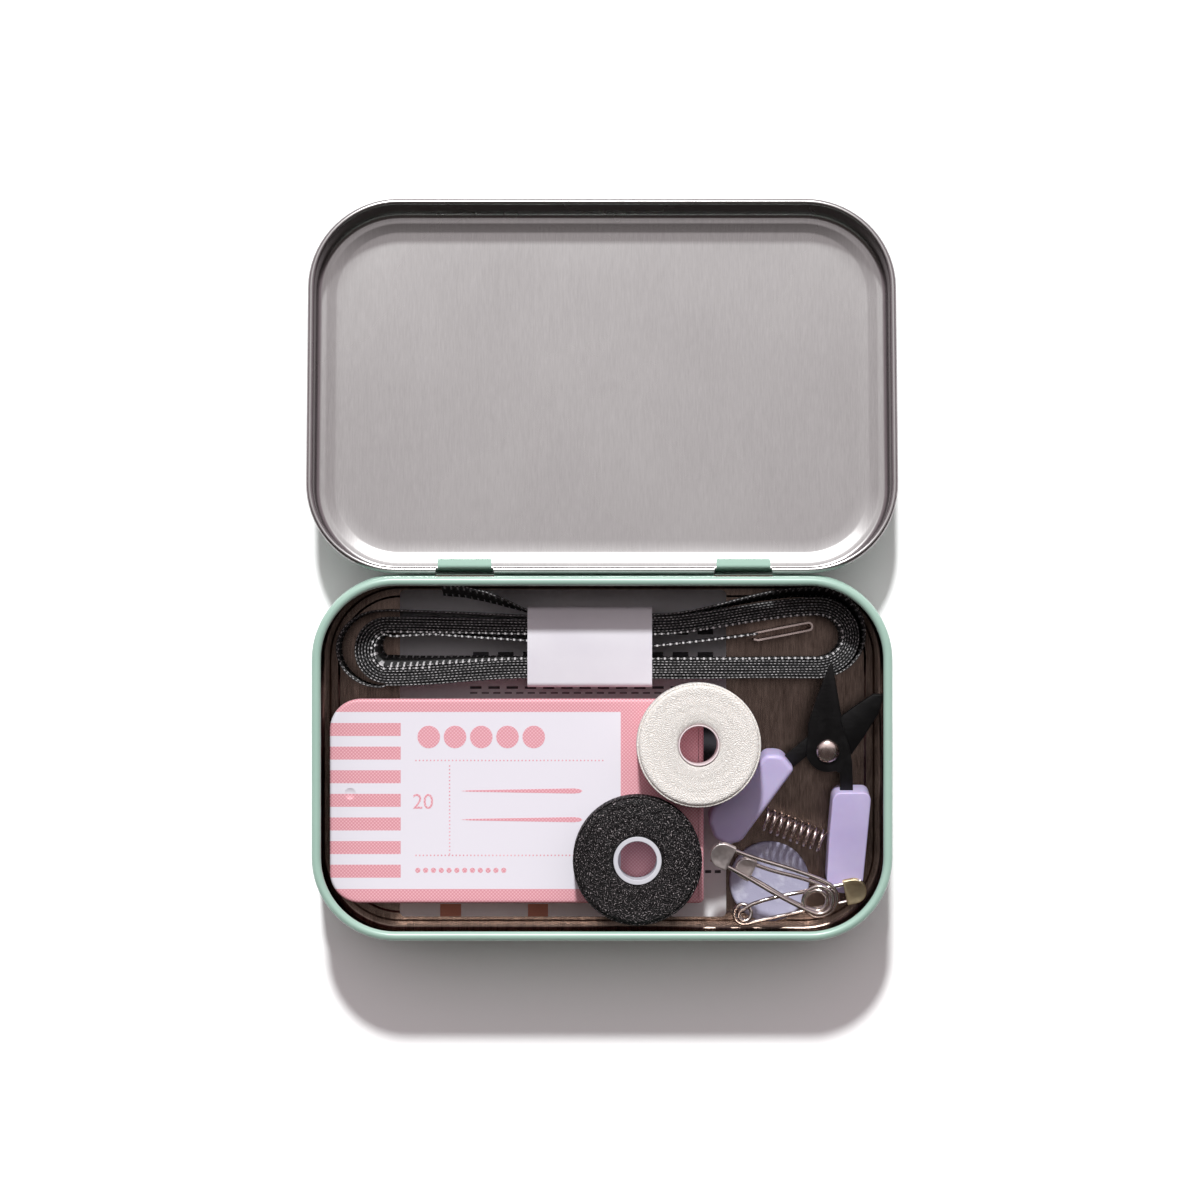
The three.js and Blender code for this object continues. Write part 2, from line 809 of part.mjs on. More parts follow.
function inPlane(geometry) {
  geometry.applyMatrix4(snipsFrame);
  return geometry;
}

function flatPiece(outline, fromW, toW) {
  const order = THREE.ShapeUtils.area(outline.map(([u, v]) => new THREE.Vector2(u, v))) > 0
    ? outline : [...outline].reverse();
  const low = order.map(([u, v]) => new THREE.Vector3(u, v, fromW));
  const high = order.map(([u, v]) => new THREE.Vector3(u, v, toW));
  return prismBetween(low, high);
}

// Arm of a given width from one point to another, as an outline.
function armOutline(from, to, width, extra = 0) {
  const start = new THREE.Vector2(...from);
  const end = new THREE.Vector2(...to);
  const along = end.clone().sub(start).normalize();
  const side = new THREE.Vector2(-along.y, along.x).multiplyScalar(width / 2 + extra);
  end.addScaledVector(along, extra);
  return [
    [start.x - side.x, start.y - side.y], [end.x - side.x, end.y - side.y],
    [end.x + side.x, end.y + side.y], [start.x + side.x, start.y + side.y],
  ];
}

const rightBlade = {
  edge: [
    [2.9, -2.2], [3.5, 0.8], [2.14, 4.95], [2.13, 6.12], [1.4, 10.4], [0.56, 14.6],
    [-0.4, 13], [-1.9, 9], [-3.28, 4.61], [-3.27, 3.44], [-3.5, 0], [-2.2, -2.9],
  ],
  tangFrom: [2.9, -1], tangTo: [3.3, -11.6], tangWidth: 2.2,
};
const leftBlade = {
  edge: [
    [-2.2, 2.85], [-2.6, -2.4], [1.5, -3.3], [3.6, -1.4], [6.11, 2.4], [8.4, 6.2],
    [9.2, 9.3], [7.4, 9.3], [4.6, 7.4], [2.11, 5.52], [0, 3.7],
  ],
  tangFrom: [-1.5, 2.1], tangTo: [-10.2, -5.35], tangWidth: 2.4,
};

function makeBlade(name, blade, fromW, toW) {
  const body = flatPiece(blade.edge, fromW, toW);
  const tang = flatPiece(armOutline(blade.tangFrom, blade.tangTo, blade.tangWidth), fromW, toW);
  const hole = new THREE.CylinderGeometry(
    snips.rivetRadius / 2 + snips.tangClearance / 2,
    snips.rivetRadius / 2 + snips.tangClearance / 2,
    snips.gripBelow * 2, 16,
  );
  hole.rotateX(quarterTurn);
  const whole = cutAway(joinAll([body, tang]), [hole]);
  addPiece(name, inPlane(whole), finishes.blackBlade());
}

function makeRivet() {
  const stem = snips.rivetRadius / 2;
  const under = snips.bladeThickness + snips.bladeGap;
  const over = under;
  const headRise = 0.8;
  const profile = [
    [0, -under - headRise], [snips.rivetRadius * 0.75, -under - headRise * 0.7],
    [snips.rivetRadius, -under - seatGap], [stem, -under - seatGap],
    [stem, over + seatGap], [snips.rivetRadius, over + seatGap],
    [snips.rivetRadius * 0.75, over + headRise * 0.7], [0, over + headRise],
  ];
  const lathe = new THREE.LatheGeometry(profile.map(([r, w]) => new THREE.Vector2(r, w)), 16);
  lathe.rotateX(quarterTurn);
  lathe.deleteAttribute("normal");
  lathe.deleteAttribute("uv");
  addPiece("snips_rivet", inPlane(turnOutward(mergeVertices(lathe, 1e-4))), finishes.steel());
}

const gripOutlines = {
  right: [
    [7.1, -7.5], [6.4, -6.6], [1.6, -6.6], [0.8, -7.5], [0.3, -14], [-0.05, -21.8],
    [0.8, -23.3], [2.9, -23.8], [5, -23.3], [5.95, -21.9], [6.6, -14],
  ],
  left: [
    [-5.56, -2.81], [-7.35, -0.6], [-8.5, -0.25], [-10.3, -0.3], [-11.3, -1.5],
    [-13.2, -4.2], [-19, -9.4], [-19.6, -11.6], [-18.6, -14.4], [-16.4, -15.6], [-14.1, -14.89],
  ],
};

function makeGrip(name, outline, blade, tangFromW, tangToW) {
  const shape = new THREE.Shape(outline.map(([u, v]) => new THREE.Vector2(u, v)));
  const geometry = new THREE.ExtrudeGeometry(shape, {
    depth: snips.gripBelow + snips.gripAbove - snips.gripBevel * 2,
    bevelEnabled: true,
    bevelThickness: snips.gripBevel,
    bevelSize: snips.gripBevel,
    bevelOffset: -snips.gripBevel,
    bevelSegments: 2,
    curveSegments: 1,
  });
  geometry.translate(0, 0, snips.gripBevel - snips.gripBelow);
  const pocket = flatPiece(
    armOutline(blade.tangFrom, blade.tangTo, blade.tangWidth, snips.tangClearance),
    tangFromW - snips.tangClearance, tangToW + snips.tangClearance,
  );
  addPiece(name, inPlane(cutAway(geometry, [pocket])), finishes.lavender());
}

const spring = {
  from: [-10.9, -11.3], to: [-0.75, -15.9], curls: 8, steps: 8, sides: 5,
  radius: 1.75, wireRadius: 0.2,
};

function makeSpring() {
  const start = new THREE.Vector3(spring.from[0], spring.from[1], 0);
  const end = new THREE.Vector3(spring.to[0], spring.to[1], 0);
  const along = end.clone().sub(start).normalize();
  const side = new THREE.Vector3(-along.y, along.x, 0);
  const upward = new THREE.Vector3(0, 0, 1);
  const total = spring.curls * spring.steps;
  const points = [];
  const radials = [];
  for (let step = 0; step <= total; step += 1) {
    const angle = step / spring.steps * fullTurn;
    const radial = side.clone().multiplyScalar(Math.cos(angle))
      .addScaledVector(upward, Math.sin(angle));
    radials.push(radial);
    points.push(start.clone().lerp(end, step / total).addScaledVector(radial, spring.radius));
  }
  const gap = leastGap(points, spring.steps, spring.wireRadius * 2);
  console.log(`snips_spring least gap ${gap.toFixed(3)} mm`);
  const section = sectionCircle(spring.wireRadius, spring.sides);
  const geometry = leadAlong(points, section, (place) => radials[place]);
  addPiece("snips_spring", inPlane(geometry), finishes.steel());
}

function makeSnips() {
  const upperFrom = snips.bladeGap / 2;
  const upperTo = upperFrom + snips.bladeThickness;
  makeBlade("snips_blade_right", rightBlade, upperFrom, upperTo);
  makeBlade("snips_blade_left", leftBlade, -upperTo, -upperFrom);
  makeRivet();
  makeGrip("snips_grip_right", gripOutlines.right, rightBlade, upperFrom, upperTo);
  makeGrip("snips_grip_left", gripOutlines.left, leftBlade, -upperTo, -upperFrom);
  makeSpring();
}

// The chalk disc on the floor

const chalk = { insetX: 19.19, insetY: 8.35, radius: 6.65, thickness: 1.6, chamfer: 0.35 };

function makeChalk() {
  const bottom = cardBottom;
  const top = bottom + chalk.thickness;
  const profile = [
    [0, bottom], [chalk.radius - chalk.chamfer, bottom], [chalk.radius, bottom + chalk.chamfer],
    [chalk.radius, top - chalk.chamfer], [chalk.radius - chalk.chamfer, top], [0, top],
  ];
  const lathe = new THREE.LatheGeometry(profile.map(([r, z]) => new THREE.Vector2(r, z)), 24);
  lathe.rotateX(quarterTurn);
  lathe.translate(base.halfX - chalk.insetX, chalk.insetY - base.halfY, 0);
  lathe.deleteAttribute("normal");
  lathe.deleteAttribute("uv");
  addPiece("chalk_disc", turnOutward(mergeVertices(lathe, 1e-4)), finishes.chalk());
}

// The three safety pins, each in its own layer above the grips

const pin = { wireRadius: 0.35, ringRise: 0.85, capSheet: 0.25, wireSides: 6 };
const lowPin = {
  u: -13.6, v: -26.9, turnDegrees: 12.2, aboveGrips: 0.9, length: 20.5, bendRadius: 1.7,
  ringRadius: 1, midSpread: 1.6, tailSpread: 1.45, capLength: 3.6, capHalfWidth: 2.1,
};
const middlePin = {
  u: -1.82, v: -23.92, turnDegrees: 155.6, aboveLow: 1.9, length: 14.55, bendRadius: 2.4,
  ringRadius: 1.7, midSpread: 1.8, tailSpread: 1.15, capLength: 3, capHalfWidth: 1.8,
};
const topPin = {
  u: -1.57, v: -23.38, turnDegrees: 154.9, aboveMiddle: 1.7, length: 19.5, bendRadius: 3,
  ringRadius: 2.3, midSpread: 2.25, tailSpread: 1.45, capLength: 3.6, capHalfWidth: 2.1,
};
const lowLayer = snips.gripAbove + lowPin.aboveGrips;
const middleLayer = lowLayer + middlePin.aboveLow;
const topLayer = middleLayer + topPin.aboveMiddle;
const pins = [
  { ...topPin, name: "pin_top", w: topLayer },
  { ...middlePin, name: "pin_middle", w: middleLayer },
  { ...lowPin, name: "pin_low", w: lowLayer },
];

function placePin(geometry, place) {
  geometry.rotateZ(place.turnDegrees * degree);
  geometry.translate(place.u, place.v, place.w);
  return inPlane(geometry);
}

function wire(flatPoints) {
  const points = flatPoints.map(([u, v, w = 0]) => new THREE.Vector3(u, v, w));
  const upward = new THREE.Vector3(0, 0, 1);
  return leadAlong(points, sectionCircle(pin.wireRadius, pin.wireSides), () => upward);
}

function makePin(place) {
  const tip = place.length - pin.capSheet - pin.wireRadius;
  const spine = wire([
    [tip, -place.tailSpread],
    ...arcPoints([0, 0], place.bendRadius, 270, 90, 10),
  ]);
  addPiece(`${place.name}_spine`, placePin(spine, place), finishes.steel());
  const ring = arcPoints([0, 0], place.ringRadius, 10, -270, 12)
    .map(([u, v]) => [u, v, pin.ringRise]);
  const arm = wire([
    ...ring,
    [place.ringRadius * 2, place.midSpread, pin.ringRise * 0.9],
    [place.length - place.capLength - pin.wireRadius, place.tailSpread, 0],
    [tip - seatGap, place.tailSpread, 0],
  ]);
  addPiece(`${place.name}_arm`, placePin(arm, place), finishes.steel());
  addPiece(`${place.name}_cap`, placePin(pinCap(place), place), finishes.steel());
}

// A folded sheet round the wire ends, open towards the coil and at its sides.
function pinCap(place) {
  const inside = pin.wireRadius + layerGap;
  const line = [
    [place.length - place.capLength, inside + pin.capSheet / 2],
    [place.length - pin.capSheet, inside + pin.capSheet / 2],
    [place.length - pin.capSheet / 2, 0],
    [place.length - pin.capSheet, -inside - pin.capSheet / 2],
    [place.length - place.capLength, -inside - pin.capSheet / 2],
  ];
  const outline = thicken(line, pin.capSheet);
  const sides = [-1, 1].map((side) => outline.map(([u, w]) => new THREE.Vector3(
    u, side * place.capHalfWidth, w,
  )));
  return prismBetween(sides[0], sides[1]);
}

makeBase();
makeLid();
makeCard();
makeNeedleTray();
makeNeedleLid();
makeNeedles();
makeTape();
makeBand();
makeClip();
bobbins.forEach(makeBobbin);
makeSnips();
makeChalk();
pins.forEach(makePin);

export default group;
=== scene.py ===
"""Dress the open sewing tin: its pressed metal, its printed needle tin and its sewing things.

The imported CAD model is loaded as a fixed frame, and each class below builds one
sub-assembly of the tin in millimetres, turns it into metres and lets it ride on its body.
"""

import logging
import math
from dataclasses import dataclass
from enum import Enum
from typing import Callable, Iterable, Sequence

import bmesh
import bpy
from mathutils import Matrix, Vector


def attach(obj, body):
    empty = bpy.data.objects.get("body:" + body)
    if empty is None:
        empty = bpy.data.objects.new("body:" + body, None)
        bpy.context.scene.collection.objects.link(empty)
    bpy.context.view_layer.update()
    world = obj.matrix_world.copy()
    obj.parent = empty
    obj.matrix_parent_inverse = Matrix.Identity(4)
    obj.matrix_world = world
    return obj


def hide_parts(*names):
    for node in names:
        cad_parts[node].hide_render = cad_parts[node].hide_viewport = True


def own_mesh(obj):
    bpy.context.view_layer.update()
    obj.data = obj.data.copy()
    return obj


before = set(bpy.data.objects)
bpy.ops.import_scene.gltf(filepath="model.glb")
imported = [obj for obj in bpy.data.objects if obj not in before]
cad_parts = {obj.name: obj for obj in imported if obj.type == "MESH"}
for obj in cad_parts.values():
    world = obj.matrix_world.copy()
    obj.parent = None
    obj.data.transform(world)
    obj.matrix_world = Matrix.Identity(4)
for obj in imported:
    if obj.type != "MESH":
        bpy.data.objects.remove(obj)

logger = logging.getLogger("sewing_tin")

MILLIMETRE = 0.001
TO_MILLIMETRES = (1.0 / MILLIMETRE,) * 3
FULL_TURN = 2.0 * math.pi
QUARTER_TURN = math.pi / 2.0
ORIGIN = (0.0, 0.0, 0.0)
UPRIGHT = (0.0, 0.0, 1.0)
WHITE_BOBBIN_PLACE = (15.68, 2.16)
BLACK_BOBBIN_PLACE = (5.73, -16.53)
LUG_PLACES = (-22.45, 23.07)

# What many pieces share: steps, distances in mm and the degrees from which an edge stays sharp
BEND_STEPS = 6
WIRE_BEVEL = 4
WIRE_STEPS = 8
WELD = 0.001
NEAR = 0.01
RISE = 0.1
SHARP = 35.0
SHARP_FOLD = 40.0
SHARP_STEEL = 50.0
SHARP_SOFT = 60.0
SHARP_COIL = 80.0

Colour = tuple[float, float, float]
Point = tuple[float, float, float]
Flat = tuple[float, float]


class Body(Enum):
    """The CAD bodies that pieces ride on."""

    BASE = "base"
    LID = "lid"
    NEEDLE_LID = "needle_lid"
    SNIPS_LEFT = "snips_left"


class Slot(Enum):
    """The record's material slots."""

    MINT = "mint_paint"
    TINPLATE = "tinplate"
    CARD = "card"
    PINK = "pink_paint"
    STEEL = "steel"
    TAPE = "tape_weave"
    CORE = "bobbin_core"
    WHITE_THREAD = "white_thread"
    BLACK_THREAD = "black_thread"
    BLACK_STEEL = "black_steel"
    LAVENDER = "lavender_plastic"
    CHALK = "tailors_chalk"


# Shader nodes


class NodeSheet:
    """A material's node tree, filled through short calls."""

    def __init__(self, name: str) -> None:
        """Start an empty material."""
        self.material = bpy.data.materials.new(name)
        self.material.use_nodes = True
        self.tree = self.material.node_tree
        self.tree.nodes.clear()
        self.output = self.tree.nodes.new("ShaderNodeOutputMaterial")

    def add(self, kind: str, inputs: dict | None = None, **settings: object) -> bpy.types.Node:
        """Add a node.

        Args:
            kind: the node's type, without the ShaderNode prefix.
            inputs: what its sockets are fed, by name or by number.
            settings: attributes of the node.

        Returns:
            The new node.
        """
        node = self.tree.nodes.new(f"ShaderNode{kind}")
        for key, value in settings.items():
            setattr(node, key, value)
        for key, value in (inputs or {}).items():
            self.feed(node.inputs[key], value)
        return node

    def feed(self, socket: bpy.types.NodeSocket, value: object) -> None:
        """Link an output to a socket, or set the socket to a plain value.

        Args:
            socket: the input socket.
            value: an output socket, a number or a colour.
        """
        if isinstance(value, bpy.types.NodeSocket):
            self.tree.links.new(value, socket)
        elif isinstance(value, tuple) and len(value) == 3 and socket.type == "RGBA":
            socket.default_value = (*value, 1.0)
        else:
            socket.default_value = value

    def coordinates(self, output: str = "Object") -> bpy.types.NodeSocket:
        """Give a texture coordinate output."""
        return self.add("TexCoord").outputs[output]

    def placed(self, scale: Point, shift: Point = ORIGIN) -> bpy.types.NodeSocket:
        """Give the object's coordinates, scaled to so many units to the metre and then moved."""
        sockets = {"Vector": self.coordinates(), "Scale": scale, "Location": shift}
        return self.add("Mapping", sockets).outputs["Vector"]

    def axes(self, vector: object) -> tuple[bpy.types.NodeSocket, bpy.types.NodeSocket]:
        """Give a vector's X and Y."""
        parts = self.add("SeparateXYZ", {0: vector})
        return parts.outputs["X"], parts.outputs["Y"]

    def math(self, operation: str, first: object, second: object = 0.0) -> bpy.types.NodeSocket:
        """Give the result of one math operation."""
        return self.add("Math", {0: first, 1: second}, operation=operation).outputs[0]

    def product(self, first: object, *others: object) -> bpy.types.NodeSocket:
        """Give the product of several values."""
        for other in others:
            first = self.math("MULTIPLY", first, other)
        return first

    def noise(
        self, vector: object, scale: float, detail: float = 3.0, roughness: float = 0.55,
    ) -> bpy.types.NodeSocket:
        """Give a noise texture's factor."""
        sockets = {"Vector": vector, "Scale": scale, "Detail": detail, "Roughness": roughness}
        return self.add("TexNoise", sockets).outputs["Fac"]

    def span(
        self, value: object, low: float, high: float, to_low: float = 0.0, to_high: float = 1.0,
    ) -> bpy.types.NodeSocket:
        """Give a value carried from one range to another, with its ends held."""
        sockets = {
            "Value": value, "From Min": low, "From Max": high, "To Min": to_low, "To Max": to_high,
        }
        return self.add("MapRange", sockets, clamp=True).outputs["Result"]

    def blend(self, share: object, first: object, second: object) -> bpy.types.NodeSocket:
        """Give a colour between two others."""
        node = self.add("Mix", data_type="RGBA")
        for place, value in ((0, share), (6, first), (7, second)):
            self.feed(node.inputs[place], value)
        return node.outputs[2]

    def bump(self, height: object, distance: float, strength: float) -> bpy.types.NodeSocket:
        """Give a normal from a height.

        Args:
            height: the height's output.
            distance: the real depth in metres that a height of 1 stands for.
            strength: how much of the bump shows.

        Returns:
            The normal output.
        """
        sockets = {"Height": height, "Distance": distance, "Strength": strength}
        return self.add("Bump", sockets).outputs["Normal"]

    def surface(self, colour: object, roughness: object, **sockets: object) -> bpy.types.Material:
        """End the tree in a Principled shader.

        Args:
            colour: the base colour, as a value or an output.
            roughness: the roughness, as a value or an output.
            sockets: other sockets, named with underscores for spaces.

        Returns:
            The finished material.
        """
        shader = self.add("BsdfPrincipled", {"Base Color": colour, "Roughness": roughness})
        for key, value in sockets.items():
            self.feed(shader.inputs[key.replace("_", " ")], value)
        self.feed(self.output.inputs["Surface"], shader.outputs["BSDF"])
        return self.material


# Finishes


@dataclass(frozen=True)
class Grain:
    """A noise in the object's own space; its scale is in units to the metre."""

    scale: float
    detail: float = 3.0
    roughness: float = 0.55
    stretch: Point | None = None

    def on(self, sheet: NodeSheet) -> bpy.types.NodeSocket:
        """Give the noise's output on a sheet."""
        vector = sheet.placed(self.stretch) if self.stretch else sheet.coordinates()
        return sheet.noise(vector, self.scale, self.detail, self.roughness)


@dataclass(frozen=True)
class Finish:
    """A surface in two tones that mix in soft clouds, under a fine skin.

    The tones change between two of the cloud's values, and the skin's heights move the
    roughness from its lowest to its highest. Each kind of surface below sets its own.
    """

    name: str
    colour: Colour
    shade: Colour
    roughness: float = 0.7
    cloud: Grain = Grain(90.0)
    tones: Flat = (0.3, 0.75)
    skin: Grain = Grain(1400.0, 5.0, 0.7)
    skin_depth: float = 0.00002
    skin_strength: float = 0.5
    rough_heights: Flat = (0.3, 0.7)
    rough_change: Flat = (-0.06, 0.08)
    sockets: tuple[tuple[str, float], ...] = ()

    def build(self) -> bpy.types.Material:
        """Make the material."""
        sheet = NodeSheet(self.name)
        cloud = self.cloud.on(sheet)
        skin = self.skin.on(sheet)
        less, more = self.rough_change
        rough = sheet.span(skin, *self.rough_heights, self.roughness + less, self.roughness + more)
        colour = sheet.blend(sheet.span(cloud, *self.tones), self.colour, self.shade)
        normal = sheet.bump(skin, self.skin_depth, self.skin_strength)
        return sheet.surface(colour, rough, Normal=normal, **dict(self.sockets))


@dataclass(frozen=True)
class PrintedPaper(Finish):
    """Uncoated or coated paper, with fibres in its surface."""


@dataclass(frozen=True)
class PlatedWire(Finish):
    """Nickel-plated steel with faint drawing marks."""

    roughness: float = 0.16
    cloud: Grain = Grain(260.0, 2.0)
    tones: Flat = (0.35, 0.65)
    skin: Grain = Grain(1500.0)
    skin_depth: float = 0.00001
    skin_strength: float = 0.4
    rough_heights: Flat = (0.3, 0.75)
    rough_change: Flat = (0.0, 0.14)
    sockets: tuple[tuple[str, float], ...] = (("Metallic", 1.0),)


@dataclass(frozen=True)
class BlackenedSteel(Finish):
    """Blades with a dull black coat, rubbed a little along their grain."""

    roughness: float = 0.42
    cloud: Grain = Grain(300.0, 4.0)
    tones: Flat = (0.55, 0.85)
    skin: Grain = Grain(1.0, 4.0, stretch=(500.0, 2600.0, 800.0))
    skin_depth: float = 0.00001
    rough_change: Flat = (-0.08, 0.12)
    sockets: tuple[tuple[str, float], ...] = (("Metallic", 0.55),)


@dataclass(frozen=True)
class MouldedPlastic(Finish):
    """Soft coloured plastic with a satin moulded skin."""

    roughness: float = 0.4
    cloud: Grain = Grain(120.0)
    tones: Flat = (0.35, 0.7)
    skin: Grain = Grain(2600.0, 2.0)
    skin_depth: float = 0.000015
    rough_change: Flat = (-0.05, 0.08)
    sockets: tuple[tuple[str, float], ...] = (("Subsurface_Weight", 0.12), ("Subsurface_Scale", 0.001))


@dataclass(frozen=True)
class Enamel:
    """Glossy enamel over pressed tin, with the faint orange peel of a sprayed coat."""

    name: str
    colour: Colour
    shade: Colour
    roughness: float = 0.34
    peel: Grain = Grain(900.0, 2.0)
    peel_depth: float = 0.00002

    def build(self) -> bpy.types.Material:
        """Make the material."""
        sheet = NodeSheet(self.name)
        cloud = Grain(60.0, 4.0).on(sheet)
        colour = sheet.blend(sheet.span(cloud, 0.35, 0.7), self.colour, self.shade)
        rough = sheet.span(cloud, 0.3, 0.7, self.roughness - 0.05, self.roughness + 0.07)
        normal = sheet.bump(self.peel.on(sheet), self.peel_depth, 0.5)
        return sheet.surface(colour, rough, Normal=normal, Coat_Weight=0.25, Coat_Roughness=0.2)


@dataclass(frozen=True)
class RolledTinplate:
    """Bare tinplate with the fine straight grain that rolling leaves."""

    name: str
    colour: Colour
    dark: Colour
    roughness: float
    broad_share: float = 0.15
    fine: Grain = Grain(1.0, 5.0, 0.65, (5200.0, 420.0, 300.0))
    broad: Grain = Grain(1.0, stretch=(900.0, 120.0, 60.0))
    grain_depth: float = 0.000006

    def build(self) -> bpy.types.Material:
        """Make the material."""
        sheet = NodeSheet(self.name)
        fine = self.fine.on(sheet)
        narrow = sheet.product(fine, 1.0 - self.broad_share)
        wide = sheet.product(self.broad.on(sheet), self.broad_share)
        marks = sheet.math("ADD", narrow, wide)
        cloud = Grain(28.0, 4.0).on(sheet)
        colour = sheet.blend(sheet.span(marks, 0.35, 0.68), self.dark, self.colour)
        rough = sheet.span(cloud, 0.3, 0.72, self.roughness - 0.015, self.roughness + 0.02)
        normal = sheet.bump(fine, self.grain_depth, 0.55)
        return sheet.surface(colour, rough, Normal=normal, Metallic=1.0)


@dataclass(frozen=True)
class PressedChalk:
    """A pressed chalk disc, with paler rubbed patches and fine grains."""

    name: str
    colour: Colour
    rubbed: Colour

    def build(self) -> bpy.types.Material:
        """Make the material."""
        sheet = NodeSheet(self.name)
        patch = Grain(420.0, 5.0, 0.62).on(sheet)
        colour = sheet.blend(sheet.span(patch, 0.5, 0.68), self.colour, self.rubbed)
        height = sheet.math("ADD", sheet.product(patch, 2.0), Grain(3800.0).on(sheet))
        rough = sheet.span(patch, 0.35, 0.7, 0.5, 0.85)
        return sheet.surface(colour, rough, Normal=sheet.bump(height, 0.00007, 0.6))


@dataclass(frozen=True)
class LabelPlan:
    """Where the white panel and the pink bars are printed on the needle tin's lid, in mm."""

    paper: Colour
    right: float = 3.05
    low: float = -21.66
    high: float = 7.35
    bar_right: float = -33.0
    bar_top: float = 5.54
    bar_step: float = 3.87
    bar_height: float = 2.13
    bar_count: int = 7

    def white(self, sheet: NodeSheet) -> bpy.types.NodeSocket:
        """Give 1 where the lid is white and 0 where it is pink."""
        across, back = sheet.axes(sheet.placed(TO_MILLIMETRES))
        down = sheet.math("DIVIDE", sheet.math("SUBTRACT", self.bar_top, back), self.bar_step)
        bar = sheet.product(
            sheet.math("LESS_THAN", sheet.math("FRACT", down), self.bar_height / self.bar_step),
            sheet.math("GREATER_THAN", down, 0.0),
            sheet.math("LESS_THAN", down, float(self.bar_count)),
            sheet.math("LESS_THAN", across, self.bar_right),
        )
        return sheet.product(
            sheet.math("LESS_THAN", across, self.right),
            sheet.math("GREATER_THAN", back, self.low),
            sheet.math("LESS_THAN", back, self.high),
            sheet.math("SUBTRACT", 1.0, bar),
        )


@dataclass(frozen=True)
class HalftonePrint:
    """Enamel printed with a fine halftone of dots in rows."""

    name: str
    colour: Colour
    light: Colour
    plan: LabelPlan | None = None
    pitch: float = 0.00058
    roughness: float = 0.48

    def build(self) -> bpy.types.Material:
        """Make the material."""
        sheet = NodeSheet(self.name)
        step = FULL_TURN / self.pitch
        across, back = sheet.axes(sheet.placed((step, step, step)))
        dots = sheet.product(sheet.math("SINE", across), sheet.math("SINE", back))
        colour = sheet.blend(sheet.span(dots, -0.1, 0.45), self.colour, self.light)
        if self.plan is not None:
            colour = sheet.blend(self.plan.white(sheet), colour, self.plan.paper)
        normal = sheet.bump(Grain(70.0).on(sheet), 0.00003, 0.35)
        return sheet.surface(
            colour, self.roughness, Normal=normal, Coat_Weight=0.1, Coat_Roughness=0.4,
        )


@dataclass(frozen=True)
class WovenTape:
    """Black woven tape, whose edges carry white stitches; it reads the strip's own map.

    The pitches are in mm along the tape, and its innermost length starts at inner_from.
    """

    name: str
    colour: Colour
    stitch: Colour
    tick_pitch: float = 1.07
    tick_half: float = 0.14
    stitch_pitch: float = 0.66
    stitch_half: float = 0.25
    inner_from: float = 1190.0
    rib_pitch: float = 0.32
    rib_rows: float = 26.0

    def marks(self, sheet: NodeSheet, along: object, pitch: float, half: float) -> bpy.types.NodeSocket:
        """Give 1 on even marks along the tape and 0 between them."""
        turn = sheet.math("FRACT", sheet.math("DIVIDE", along, pitch))
        off = sheet.math("ABSOLUTE", sheet.math("SUBTRACT", turn, 0.5))
        return sheet.math("LESS_THAN", off, half)

    def build(self) -> bpy.types.Material:
        """Make the material; U is the length in mm, V goes round the section from 0 to 4."""
        sheet = NodeSheet(self.name)
        along, way_round = sheet.axes(sheet.coordinates("UV"))
        share = sheet.math("FRACT", way_round)
        on_edge = sheet.math("GREATER_THAN", sheet.math("MODULO", way_round, 2.0), 1.0)
        on_side = sheet.math("SUBTRACT", 1.0, on_edge)
        off_middle = sheet.math("ABSOLUTE", sheet.math("SUBTRACT", share, 0.5))
        tick = self.marks(sheet, along, self.tick_pitch, self.tick_half)
        stitch = self.marks(sheet, along, self.stitch_pitch, self.stitch_half)
        row = sheet.math("LESS_THAN", off_middle, 0.17)
        kept = sheet.span(Grain(900.0).on(sheet), 0.4, 0.6, 0.3, 1.0)
        stitches = sheet.product(stitch, row, kept, 0.85)
        inner = sheet.math("GREATER_THAN", along, self.inner_from)
        on_rim = sheet.math("MAXIMUM", stitches, sheet.product(tick, inner))
        near_rim = sheet.product(tick, sheet.math("GREATER_THAN", off_middle, 0.22))
        light = sheet.math(
            "ADD", sheet.product(on_rim, on_edge), sheet.product(near_rim, on_side),
        )
        ribs = sheet.math("SINE", sheet.product(along, FULL_TURN / self.rib_pitch))
        rows = sheet.math("SINE", sheet.product(share, FULL_TURN * self.rib_rows))
        normal = sheet.bump(sheet.product(ribs, rows, on_side), 0.00006, 0.7)
        colour = sheet.blend(light, self.colour, self.stitch)
        return sheet.surface(colour, 0.8, Normal=normal, Sheen_Weight=0.08, Sheen_Roughness=0.5)


